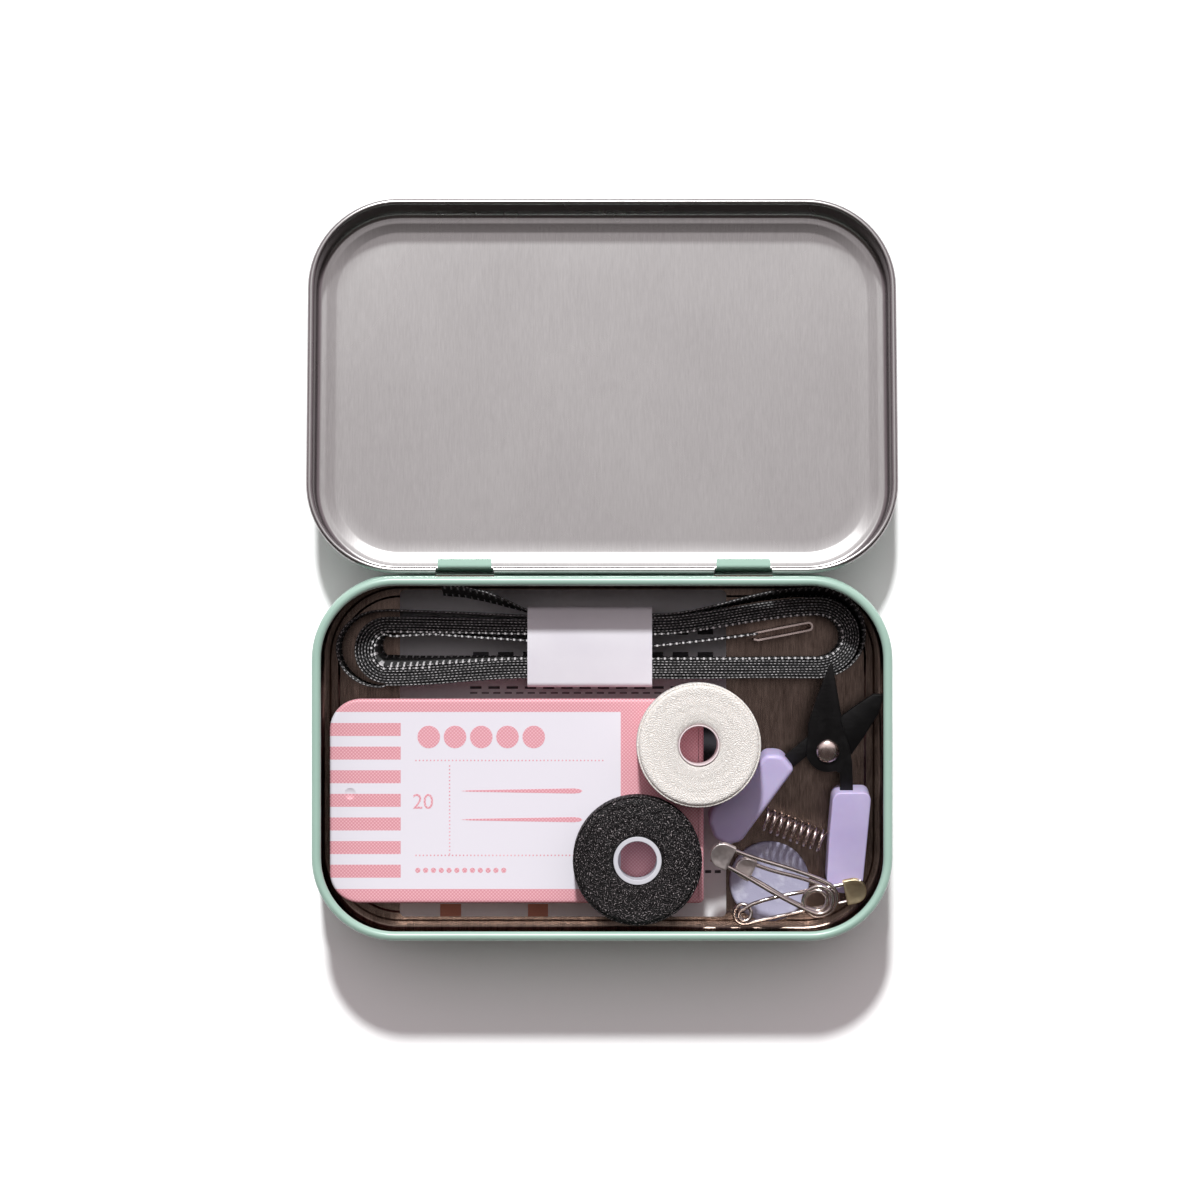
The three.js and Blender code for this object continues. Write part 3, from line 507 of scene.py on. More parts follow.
@dataclass(frozen=True)
class WoundThread:
    """Thread wound on a bobbin, whose strands cross in a zigzag on the flat ends; a painted highlight
    lightens their crests and specks.
    """

    name: str
    colour: Colour
    light: Colour
    centre: Flat
    painted_glint: Flat
    strands: float
    lean: float = 2.8
    relief: float = 0.00003
    speck: float = 6.0
    gloss: float = 0.5
    sheen: float = 0.2
    ring_pitch: float = 0.95

    def build(self) -> bpy.types.Material:
        """Make the material; the centre and the pitch are in mm."""
        sheet = NodeSheet(self.name)
        vector = sheet.placed(TO_MILLIMETRES, (-self.centre[0], -self.centre[1], 0.0))
        across, back = sheet.axes(vector)
        squares = sheet.math("ADD", sheet.product(across, across), sheet.product(back, back))
        radius = sheet.math("SQRT", squares)
        wobble = sheet.noise(vector, 1.6, 2.0)
        zigzag = sheet.math("PINGPONG", sheet.math("ADD", radius, wobble), self.ring_pitch / 2.0)
        angle = sheet.product(sheet.math("ARCTAN2", back, across), self.strands)
        phase = sheet.math("ADD", angle, sheet.product(zigzag, self.lean * FULL_TURN))
        twist = sheet.noise(vector, self.speck, 3.0, 0.7)
        height = sheet.math("ADD", sheet.math("SINE", phase), sheet.product(twist, 3.0))
        # Painted highlight: the colour turns to the light colour on the strands' crests and specks.
        colour = sheet.blend(sheet.span(height, *self.painted_glint), self.colour, self.light)
        rough = sheet.span(twist, 0.3, 0.75, 0.3, 0.62)
        return sheet.surface(
            colour, rough, Normal=sheet.bump(height, self.relief, 1.0), Sheen_Weight=self.sheen,
            Specular_IOR_Level=self.gloss,
        )


@dataclass(frozen=True)
class StudioFloor:
    """The pale floor; it is white to the camera where the light reaches it, and keeps the shadow."""

    name: str
    colour: Colour
    seen_share: float

    def build(self) -> bpy.types.Material:
        """Make the material."""
        sheet = NodeSheet(self.name)
        path = sheet.add("LightPath").outputs
        seen = sheet.math("MAXIMUM", path["Is Camera Ray"], path["Is Glossy Ray"])
        seen = sheet.math("MAXIMUM", seen, path["Is Transmission Ray"])
        speck = sheet.product(sheet.noise(sheet.coordinates(), 300.0, 2.0), 0.04)
        ground = sheet.blend(speck, self.colour, (0.7, 0.69, 0.7))
        bright = tuple(part * self.seen_share for part in self.colour)
        plain = sheet.add("BsdfDiffuse", {"Color": ground})
        lifted = sheet.add("BsdfDiffuse", {"Color": bright})
        mix = sheet.add("MixShader", {0: seen, 1: plain.outputs[0], 2: lifted.outputs[0]})
        sheet.feed(sheet.output.inputs["Surface"], mix.outputs[0])
        return sheet.material


def tint(red: float, green: float, blue: float) -> Colour:
    """Give the linear colour of an 8-bit screen colour.

    Args:
        red: the red value, 0 to 255.
        green: the green value.
        blue: the blue value.

    Returns:
        The linear colour.
    """
    return tuple(
        part / 12.92 if part <= 0.04045 else ((part + 0.055) / 1.055) ** 2.4
        for part in (red / 255.0, green / 255.0, blue / 255.0)
    )


def plated(name: str, colour: Colour, roughness: float = 0.16) -> PlatedWire:
    """Give plated steel of one colour; its darker tone has 0.72 of its light."""
    return PlatedWire(name, tuple(part * 0.72 for part in colour), colour, roughness)


def finishes() -> list:
    """Give every finish of the tin and of its surroundings."""
    print_pink = tint(224, 150, 162), tint(242, 190, 198)
    return [
        Enamel("mint_enamel", tint(169, 201, 187), tint(163, 196, 182)),
        RolledTinplate("lid_tinplate", tint(166, 164, 164), tint(156, 154, 154), 0.27),
        # The base's tinplate is a darker, browner copy of the lid's tinplate: painted shade of the deep
        # base.
        RolledTinplate("shaded_base_tinplate", tint(150, 132, 122), tint(84, 70, 63), 0.24, 0.3),
        PrintedPaper("card_paper", tint(234, 232, 235), tint(224, 222, 226)),
        PrintedPaper("band_paper", tint(234, 231, 238), tint(226, 222, 231), 0.5),
        # The dark ink also prints the painted shadow block on the card.
        PrintedPaper("dark_ink_and_shadow", tint(42, 40, 46), tint(52, 50, 56), 0.5),
        PrintedPaper("brown_ink", tint(186, 118, 96), tint(196, 130, 108), 0.5),
        PrintedPaper("bobbin_card", tint(210, 211, 218), tint(202, 203, 211), 0.6),
        PrintedPaper("rose_bobbin_card", tint(236, 222, 224), tint(226, 208, 212), 0.6),
        HalftonePrint("pink_print", *print_pink),
        HalftonePrint("label_print", *print_pink, LabelPlan(tint(236, 233, 242))),
        HalftonePrint("pink_ink", tint(227, 154, 166), tint(242, 190, 200)),
        plated("needle_steel", tint(196, 192, 194)),
        plated("pin_wire", tint(232, 222, 216), 0.14),
        plated("pin_cap_plate", tint(244, 234, 232), 0.4),
        plated("pin_cap_brass", tint(236, 222, 184), 0.36),
        plated("rivet_steel", tint(232, 214, 208), 0.2),
        WovenTape("woven_tape", (0.012, 0.0118, 0.0128), tint(214, 212, 214)),
        # The threads' light colours are painted highlights on their strands.
        WoundThread(
            "white_thread", tint(249, 239, 228), tint(255, 254, 250), WHITE_BOBBIN_PLACE,
            painted_glint=(0.1, 1.9), strands=110.0, relief=0.00004, speck=4.2,
        ),
        WoundThread(
            "black_thread", tint(9, 8, 9), tint(214, 204, 206), BLACK_BOBBIN_PLACE,
            painted_glint=(2.4, 3.1), strands=90.0, ring_pitch=1.3, speck=3.2, gloss=0.22, sheen=0.0,
        ),
        BlackenedSteel("blade_black", (0.011, 0.0105, 0.011), (0.03, 0.029, 0.03)),
        MouldedPlastic("lavender_plastic", tint(210, 199, 238), tint(198, 185, 229)),
        PressedChalk("chalk_disc", tint(176, 174, 200), tint(206, 206, 224)),
        StudioFloor("studio_floor", (0.8, 0.795, 0.8), 1.5),
    ]


def make_palette() -> dict[str, bpy.types.Material]:
    """Make every finish, and give the materials by their names."""
    return {finish.name: finish.build() for finish in finishes()}


# Shaping


def arc_points(centre: Flat, radius: float, start: float, end: float, steps: int) -> list[Flat]:
    """Give points on an arc.

    Args:
        centre: the arc's centre.
        radius: its radius.
        start: the first point's angle in degrees.
        end: the last point's angle in degrees.
        steps: how many spans the arc has.

    Returns:
        The points, in order.
    """
    points = []
    for step in range(steps + 1):
        angle = math.radians(start + (end - start) * step / steps)
        points.append((centre[0] + radius * math.cos(angle), centre[1] + radius * math.sin(angle)))
    return points


def ends_of(edges: Iterable[bmesh.types.BMEdge]) -> list[bmesh.types.BMVert]:
    """Give the vertices of edges, each one once."""
    return list(dict.fromkeys(spot for edge in edges for spot in edge.verts))


def is_upright(edge: bmesh.types.BMEdge) -> bool:
    """Tell whether an edge runs up rather than along."""
    return abs(edge.verts[0].co.z - edge.verts[1].co.z) > RISE


def is_level(edge: bmesh.types.BMEdge) -> bool:
    """Tell whether an edge keeps one height."""
    return abs(edge.verts[0].co.z - edge.verts[1].co.z) < NEAR


def face_area(face: bmesh.types.BMFace) -> float:
    """Give a face's area."""
    return face.calc_area()


def face_height(face: bmesh.types.BMFace) -> float:
    """Give the height of a face's middle."""
    return face.calc_center_median().z


@dataclass(frozen=True)
class RoundedPlan:
    """A rectangle with one corner radius, seen from above, in mm."""

    half_x: float
    half_y: float
    radius: float
    centre_y: float = 0.0
    corner_steps: int = 18

    def corners(self) -> list[Flat]:
        """Give the corner arcs' centres, anticlockwise from the back right."""
        reach_x = self.half_x - self.radius
        low = self.centre_y - self.half_y + self.radius
        high = self.centre_y + self.half_y - self.radius
        return [(reach_x, high), (-reach_x, high), (-reach_x, low), (reach_x, low)]


class Form:
    """A mesh in millimetres on its way to being a finished piece."""

    def __init__(self, name: str) -> None:
        """Start with no geometry."""
        self.name = name
        self.mesh = bmesh.new()

    def chain(self, points: Sequence[Point], closed: bool = False) -> list[bmesh.types.BMEdge]:
        """Add vertices joined by edges, and give the edges."""
        spots = [self.mesh.verts.new(point) for point in points]
        pairs = list(zip(spots, spots[1:]))
        if closed:
            pairs.append((spots[-1], spots[0]))
        return [self.mesh.edges.new(pair) for pair in pairs]

    def extrude(
        self, edges: Iterable[bmesh.types.BMEdge], move: Point, shares: Sequence[float] = (1.0,),
    ) -> list[bmesh.types.BMEdge]:
        """Extrude edges along a vector, in one go or in shares of it, and give the last edges."""
        for share in shares:
            grown = bmesh.ops.extrude_edge_only(self.mesh, edges=list(edges))["geom"]
            spots = [part for part in grown if isinstance(part, bmesh.types.BMVert)]
            step = Vector([part * share for part in move])
            bmesh.ops.translate(self.mesh, verts=spots, vec=step)
            edges = [part for part in grown if isinstance(part, bmesh.types.BMEdge)]
        return edges

    def turn(
        self, edges: Iterable[bmesh.types.BMEdge], centre: Point, axis: Point, angle: float,
        steps: int, rise: Point = ORIGIN, closed: bool = False,
    ) -> list[bmesh.types.BMEdge]:
        """Spin edges round an axis, and give the last edges.

        Args:
            edges: the profile.
            centre: a point on the axis.
            axis: the axis.
            angle: the whole angle.
            steps: how many spans there are.
            rise: how far each step moves along.
            closed: True where the spin comes back to its start.

        Returns:
            The last edges of the spin.
        """
        profile = list(edges)
        grown = bmesh.ops.spin(
            self.mesh, geom=profile + ends_of(profile), cent=Vector(centre), axis=Vector(axis), angle=angle,
            steps=steps, dvec=Vector(rise), use_merge=closed, use_normal_flip=False,
            use_duplicate=False,
        )["geom_last"]
        return [part for part in grown if isinstance(part, bmesh.types.BMEdge)]

    def lathe(self, profile: Sequence[Flat], steps: int, closed: bool = False) -> None:
        """Turn a profile of radius and height once round the upright axis."""
        edges = self.chain([(out, 0.0, up) for out, up in profile], closed)
        self.turn(edges, ORIGIN, UPRIGHT, FULL_TURN, steps, closed=True)
        self.point_outward()

    def coil(self, ring: Sequence[Point], axis: Point, turns: int, steps: int, pitch: float) -> None:
        """Wind a closed ring round an axis through the origin, as a solid wire.

        Args:
            ring: the wire's section where it starts.
            axis: the unit axis.
            turns: how many turns there are.
            steps: how many spans each turn has.
            pitch: how far one turn moves along the axis.
        """
        edges = self.chain(ring, closed=True)
        bmesh.ops.edgeloop_fill(self.mesh, edges=edges)
        rise = tuple(part * pitch / steps for part in axis)
        last = self.turn(edges, ORIGIN, axis, FULL_TURN * turns, steps * turns, rise)
        bmesh.ops.edgeloop_fill(self.mesh, edges=last)
        self.point_outward()

    def sweep_round(self, plan: RoundedPlan, profile: Sequence[Flat]) -> None:
        """Lead a profile of outward offset and height round a rounded rectangle."""
        start_y = plan.centre_y - plan.half_y + plan.radius
        edges = self.chain([(plan.half_x + out, start_y, up) for out, up in profile])
        long_side = 2.0 * (plan.half_x - plan.radius)
        short_side = 2.0 * (plan.half_y - plan.radius)
        moves = [
            (0.0, short_side, 0.0), (-long_side, 0.0, 0.0), (0.0, -short_side, 0.0),
            (long_side, 0.0, 0.0),
        ]
        for move, centre in zip(moves, plan.corners()):
            edges = self.extrude(edges, move)
            edges = self.turn(edges, (*centre, 0.0), UPRIGHT, QUARTER_TURN, plan.corner_steps)
        bmesh.ops.remove_doubles(self.mesh, verts=self.mesh.verts, dist=WELD)

    def fill_open(self, test: Callable[[bmesh.types.BMEdge], bool]) -> None:
        """Fill the boundary loop whose edges pass a test."""
        edges = [edge for edge in self.mesh.edges if edge.is_boundary and test(edge)]
        bmesh.ops.edgeloop_fill(self.mesh, edges=edges)

    def point_outward(self) -> None:
        """Make a closed form's faces point out."""
        bmesh.ops.remove_doubles(self.mesh, verts=self.mesh.verts, dist=WELD / 2.0)
        bmesh.ops.recalc_face_normals(self.mesh, faces=self.mesh.faces)
        if self.mesh.calc_volume(signed=True) < 0.0:
            bmesh.ops.reverse_faces(self.mesh, faces=self.mesh.faces)

    def look(self, way: Point, measure: Callable[[bmesh.types.BMFace], float]) -> None:
        """Turn an open shell's faces so that the one with the largest measure looks a given way."""
        bmesh.ops.recalc_face_normals(self.mesh, faces=self.mesh.faces)
        face = max(self.mesh.faces, key=measure)
        if face.normal.dot(Vector(way)) < 0.0:
            bmesh.ops.reverse_faces(self.mesh, faces=self.mesh.faces)

    def lift(self, faces: Sequence[bmesh.types.BMFace], rise: float) -> None:
        """Extrude flat faces straight up into solids."""
        grown = bmesh.ops.extrude_face_region(self.mesh, geom=faces)["geom"]
        spots = [part for part in grown if isinstance(part, bmesh.types.BMVert)]
        bmesh.ops.translate(self.mesh, verts=spots, vec=Vector((0.0, 0.0, rise)))
        bmesh.ops.recalc_face_normals(self.mesh, faces=self.mesh.faces)

    def prism(self, outline: Sequence[Flat], low: float, high: float) -> None:
        """Add a solid with a given outline between two heights."""
        edges = self.chain([(x, y, low) for x, y in outline], closed=True)
        self.lift(bmesh.ops.edgeloop_fill(self.mesh, edges=edges)["faces"], high - low)

    def block(self, low: Point, high: Point) -> None:
        """Add a box between two corners."""
        made = bmesh.ops.create_cube(self.mesh, size=1.0)["verts"]
        size = [high[place] - low[place] for place in range(3)]
        middle = [(high[place] + low[place]) / 2.0 for place in range(3)]
        bmesh.ops.scale(self.mesh, verts=made, vec=Vector(size))
        bmesh.ops.translate(self.mesh, verts=made, vec=Vector(middle))

    def soften(
        self, offset: float, segments: int, test: Callable[[bmesh.types.BMEdge], bool],
    ) -> None:
        """Round off the edges that pass a test."""
        edges = [edge for edge in self.mesh.edges if test(edge)]
        bmesh.ops.bevel(
            self.mesh, geom=edges, offset=offset, segments=segments, affect="EDGES",
            profile=0.5, material=-1, clamp_overlap=True,
        )

    def place(self, matrix: Matrix) -> None:
        """Move every vertex by a matrix in millimetres."""
        bmesh.ops.transform(self.mesh, matrix=matrix, verts=self.mesh.verts)

    def finish(
        self, materials: Sequence[bpy.types.Material], sharp: float = SHARP,
    ) -> bpy.types.Object:
        """Turn the form into an object in metres.

        Args:
            materials: its material slots in order.
            sharp: the angle in degrees from which an edge stays sharp.

        Returns:
            The object.
        """
        bmesh.ops.scale(self.mesh, vec=Vector((MILLIMETRE,) * 3), verts=self.mesh.verts)
        data = bpy.data.meshes.new(self.name)
        self.mesh.to_mesh(data)
        self.mesh.free()
        return add_piece(self.name, data, materials, sharp)


def add_piece(
    name: str, data: bpy.types.Mesh, materials: Sequence[bpy.types.Material], sharp: float,
) -> bpy.types.Object:
    """Add a mesh to the scene with its materials, shaded smooth.

    Args:
        name: the object's name.
        data: its mesh.
        materials: its material slots in order.
        sharp: the angle in degrees from which an edge stays sharp.

    Returns:
        The object.
    """
    data.materials.clear()
    for material in materials:
        data.materials.append(material)
    piece = bpy.data.objects.new(name, data)
    bpy.context.collection.objects.link(piece)
    round_off(piece, sharp)
    return piece


def round_off(piece: bpy.types.Object, sharp: float = SHARP) -> None:
    """Shade a mesh smooth, but for edges sharper than an angle in degrees."""
    piece.data.polygons.foreach_set("use_smooth", [True] * len(piece.data.polygons))
    piece.data.set_sharp_from_angle(angle=math.radians(sharp))


def evaluated_mesh(piece: bpy.types.Object) -> bpy.types.Mesh:
    """Give an object's mesh as it stands, with its modifiers or from its curve."""
    graph = bpy.context.evaluated_depsgraph_get()
    return bpy.data.meshes.new_from_object(piece.evaluated_get(graph), depsgraph=graph)


def bake(piece: bpy.types.Object) -> None:
    """Apply an object's modifiers to its mesh."""
    baked = evaluated_mesh(piece)
    piece.modifiers.clear()
    piece.data = baked


def drawn_mesh(name: str, curve: bpy.types.Curve) -> bpy.types.Mesh:
    """Turn a curve or a text into a mesh with the given name."""
    drawn = bpy.data.objects.new(name, curve)
    bpy.context.collection.objects.link(drawn)
    data = evaluated_mesh(drawn)
    bpy.data.objects.remove(drawn, do_unlink=True)
    data.name = name
    return data


def thicken(piece: bpy.types.Object, thickness: float, offset: float = 0.0) -> None:
    """Give a shell its wall, in mm; the inner side takes the next material slot."""
    wall = piece.modifiers.new("wall", "SOLIDIFY")
    wall.thickness = thickness * MILLIMETRE
    wall.offset = offset
    wall.use_even_offset = True
    wall.use_quality_normals = True
    wall.material_offset = min(len(piece.data.materials) - 1, 1)
    wall.material_offset_rim = wall.material_offset
    bake(piece)


def carve(piece: bpy.types.Object, tools: Form) -> None:
    """Cut a form out of a piece."""
    cutter = tools.finish([piece.data.materials[-1]])
    cut = piece.modifiers.new("cut", "BOOLEAN")
    cut.object = cutter
    cut.operation = "DIFFERENCE"
    cut.solver = "EXACT"
    bake(piece)
    bpy.data.objects.remove(cutter, do_unlink=True)


def settle(piece: bpy.types.Object, body: Body | str, replaces: str = "") -> None:
    """Let a piece ride on its body and stand for its CAD node.

    Args:
        piece: the finished object.
        body: the CAD body.
        replaces: the CAD node that it stands for, if any.
    """
    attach(piece, body.value if isinstance(body, Body) else body)
    if replaces:
        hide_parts(replaces)
    logger.info("%s: %d faces", piece.name, len(piece.data.polygons))


def wire(
    name: str, points: Sequence[Point], radius: float, material: bpy.types.Material,
) -> bpy.types.Object:
    """Make a round wire that curves smoothly through points, as a mesh.

    Args:
        name: the piece's name.
        points: the points in mm.
        radius: the wire's radius in mm.
        material: its finish.

    Returns:
        The object.
    """
    curve = bpy.data.curves.new(name, "CURVE")
    curve.dimensions = "3D"
    curve.bevel_depth = radius * MILLIMETRE
    curve.bevel_resolution = WIRE_BEVEL
    curve.use_fill_caps = True
    curve.resolution_u = WIRE_STEPS
    spline = curve.splines.new("BEZIER")
    spline.bezier_points.add(len(points) - 1)
    for spot, point in zip(spline.bezier_points, points):
        spot.co = Vector(point) * MILLIMETRE
        spot.handle_left_type = "AUTO"
        spot.handle_right_type = "AUTO"
    return add_piece(name, drawn_mesh(name, curve), [material], SHARP_STEEL)


# The tin


@dataclass
class TinBase:
    """The pressed base: foot, shoulder, neck, rolled rim and hinge slots."""

    paint: bpy.types.Material
    plate: bpy.types.Material
    half_x: float = 47.05
    half_y: float = 29.5
    corner_radius: float = 13.5
    height: float = 20.0
    sheet: float = 0.28
    proud: float = 0.4
    shoulder: float = 13.3
    neck_start: float = 14.1
    curl_radius: float = 0.75
    curl_end: float = 262.0
    foot_radius: float = 1.2
    floor_bead: float = 0.25
    slot_width: float = 9.6
    slot_low: float = 13.4
    slot_high: float = 16.3
    overrun: float = 0.5

    def profile(self) -> list[Flat]:
        """Give the middle line of the wall as outward offset and height."""
        half = self.sheet / 2.0
        body = self.proud - half
        bead = half + self.floor_bead
        line = [(-5.2, half), (-3.7, half), (-3.3, half), (-2.95, bead), (-1.95, bead), (-1.6, half)]
        line += arc_points((body - self.foot_radius, half + self.foot_radius), self.foot_radius, -90, 0, 8)
        line += [(body, self.shoulder - 0.25), (body - 0.06, self.shoulder)]
        line += [(-half + 0.08, self.neck_start - 0.08), (-half, self.neck_start + 0.15)]
        centre = (-self.curl_radius, self.height - self.curl_radius)
        return line + arc_points(centre, self.curl_radius - half, 0, self.curl_end, 22)

    def slots(self) -> Form:
        """Give what is cut out of the back wall for the lid's lugs."""
        form = Form("slots")
        reach = self.slot_width / 2.0
        for place in LUG_PLACES:
            form.block(
                (place - reach, self.half_y - self.overrun, self.slot_low),
                (place + reach, self.half_y + self.overrun, self.slot_high),
            )
        return form

    def build(self) -> None:
        """Make the base and let it stand for its CAD node."""
        form = Form("base_pan")
        form.sweep_round(RoundedPlan(self.half_x, self.half_y, self.corner_radius), self.profile())
        form.fill_open(lambda edge: max(spot.co.z for spot in edge.verts) < 1.0)
        form.look((0.0, 0.0, -1.0), face_area)
        piece = form.finish([self.paint, self.plate])
        thicken(piece, self.sheet)
        carve(piece, self.slots())
        round_off(piece)
        settle(piece, Body.BASE, "tin_base")


@dataclass
class TinLid:
    """The pressed lid, drawn shut and then laid open about the hinge."""

    paint: bpy.types.Material
    plate: bpy.types.Material
    half_x: float = 47.4
    half_y: float = 30.15
    centre_y: float = -0.1
    corner_radius: float = 13.85
    top: float = 21.0
    sheet: float = 0.28
    bead_radius: float = 0.55
    bead_bottom: float = 13.65
    step_rise: float = 0.42
    top_corner: float = 1.1
    hinge_y: float = 30.6
    hinge_z: float = 14.2
    open_degrees: float = 187.3
    lug_width: float = 8.8
    lug_tip: float = 28.8
    notch_width: float = 9.4
    overrun: float = 0.1

    def laid_open(self) -> Matrix:
        """Give the turn from shut to open, in mm."""
        axis = Matrix.Translation((0.0, self.hinge_y, self.hinge_z))
        turn = Matrix.Rotation(-math.radians(self.open_degrees), 4, "X")
        return axis @ turn @ axis.inverted()

    def profile(self) -> list[Flat]:
        """Give the middle line of the wall as outward offset and height."""
        half = self.sheet / 2.0
        panel = self.top - half
        border = panel - self.step_rise
        line = [(-6.4, panel), (-5.4, panel), (-3.4, panel), (-3.0, panel - 0.05)]
        line += [(-1.75, border + 0.06), (-1.4, border)]
        corner = (half - self.top_corner, border - self.top_corner)
        line += arc_points(corner, self.top_corner, 90, 0, 8)
        bead = (self.bead_radius, self.hinge_z)
        return line + arc_points(bead, self.bead_radius - half, 180, 430, 18)

    def lug(self, side: str, place: float) -> None:
        """Make one hinge lug, a tongue that hooks through its slot."""
        half = self.sheet / 2.0
        skirt = self.half_y + self.centre_y + half
        bend = self.bead_radius - half
        low = self.bead_bottom + half
        line = [(skirt, self.hinge_z + 1.9), (skirt, self.hinge_z + 0.9)]
        line += arc_points((skirt - bend, low + bend), bend, 0, -90, BEND_STEPS)
        line.append((self.lug_tip, low))
        form = Form(f"hinge_lug_{side}")
        edges = form.chain([(place - self.lug_width / 2.0, y, z) for y, z in line])
        form.extrude(edges, (self.lug_width, 0.0, 0.0), (0.02, 0.96, 0.02))
        form.look((0.0, 1.0, 0.0), face_height)
        form.place(self.laid_open())
        piece = form.finish([self.paint, self.plate])
        thicken(piece, self.sheet)
        round_off(piece)
        settle(piece, Body.LID)

    def notches(self) -> Form:
        """Give what is cut out of the lid's bead beside the lugs."""
        form = Form("notches")
        width = self.notch_width / 2.0
        reach = self.bead_radius + self.overrun
        for place in LUG_PLACES:
            form.block(
                (place - width, self.hinge_y - reach, self.bead_bottom - self.overrun),
                (place + width, self.hinge_y + reach, self.hinge_z + self.bead_radius + 0.05),
            )
        form.place(self.laid_open())
        return form

    def build(self) -> None:
        """Make the lid and its two lugs."""
        form = Form("lid_pan")
        plan = RoundedPlan(self.half_x, self.half_y, self.corner_radius, self.centre_y)
        form.sweep_round(plan, self.profile())
        form.fill_open(lambda edge: min(spot.co.z for spot in edge.verts) > self.top - 1.0)
        form.look(UPRIGHT, face_area)
        form.place(self.laid_open())
        piece = form.finish([self.paint, self.plate])
        thicken(piece, self.sheet)
        carve(piece, self.notches())
        round_off(piece)
        settle(piece, Body.LID, "tin_lid")
        for side, place in zip(("left", "right"), LUG_PLACES):
            self.lug(side, place)


# Paper and print


@dataclass
class InstructionCard:
    """The printed card on the floor, under everything."""

    paper: bpy.types.Material
    dark: bpy.types.Material
    brown: bpy.types.Material
    left: float = -33.7
    right: float = 20.7
    front: float = -27.1
    back: float = 27.4
    bottom: float = 0.58
    top: float = 0.83
    print_rise: float = 0.02
    corner_radius: float = 0.8

    def printed(self, name: str, ink: bpy.types.Material, patches: Sequence[tuple]) -> None:
        """Print rectangles on the card, each given by its left, front, right and back."""
        form = Form(name)
        for left, front, right, back in patches:
            form.block((left, front, self.top), (right, back, self.top + self.print_rise))
        settle(form.finish([ink]), Body.BASE)

    def stitches(self) -> list[tuple]:
        """Give plain rows of running stitch where the card shows between the things on it, and one dark
        block of painted shadow under the white bobbin's hole.
        """
        # The last row is one dark block under the white bobbin's hole: painted shadow, not print.
        rows = (
            (11.1, -22.0, 20.0, 1.9, 0.42), (10.2, -22.0, 20.0, 1.2, 0.22),
            (16.6, -21.5, 19.5, 2.6, 0.9), (20.4, -21.5, 19.5, 2.6, 0.9),
            (-19.6, 17.2, 20.2, 1.0, 0.5), (2.5, 14.0, 20.5, 6.4, 10.0),
        )
        patches = []
        for y, left, right, length, tall in rows:
            x = left
            while x + length <= right:
                patches.append((x, y - tall / 2.0, x + length, y + tall / 2.0))
                x += length * 1.6
        return patches

    def build(self) -> None:
        """Make the card, its print and a block of painted shadow."""
        form = Form("card_sheet")
        form.block((self.left, self.front, self.bottom), (self.right, self.back, self.top))
        form.soften(self.corner_radius, 5, is_upright)
        settle(form.finish([self.paper]), Body.BASE, "instruction_card")
        front, back = self.front + 0.02, -25.0
        bars = [(-27.0, front, -23.5, back), (-12.35, front, -9.0, back)]
        self.printed("card_bars", self.brown, bars)
        self.printed("card_print_and_shadow", self.dark, self.stitches())


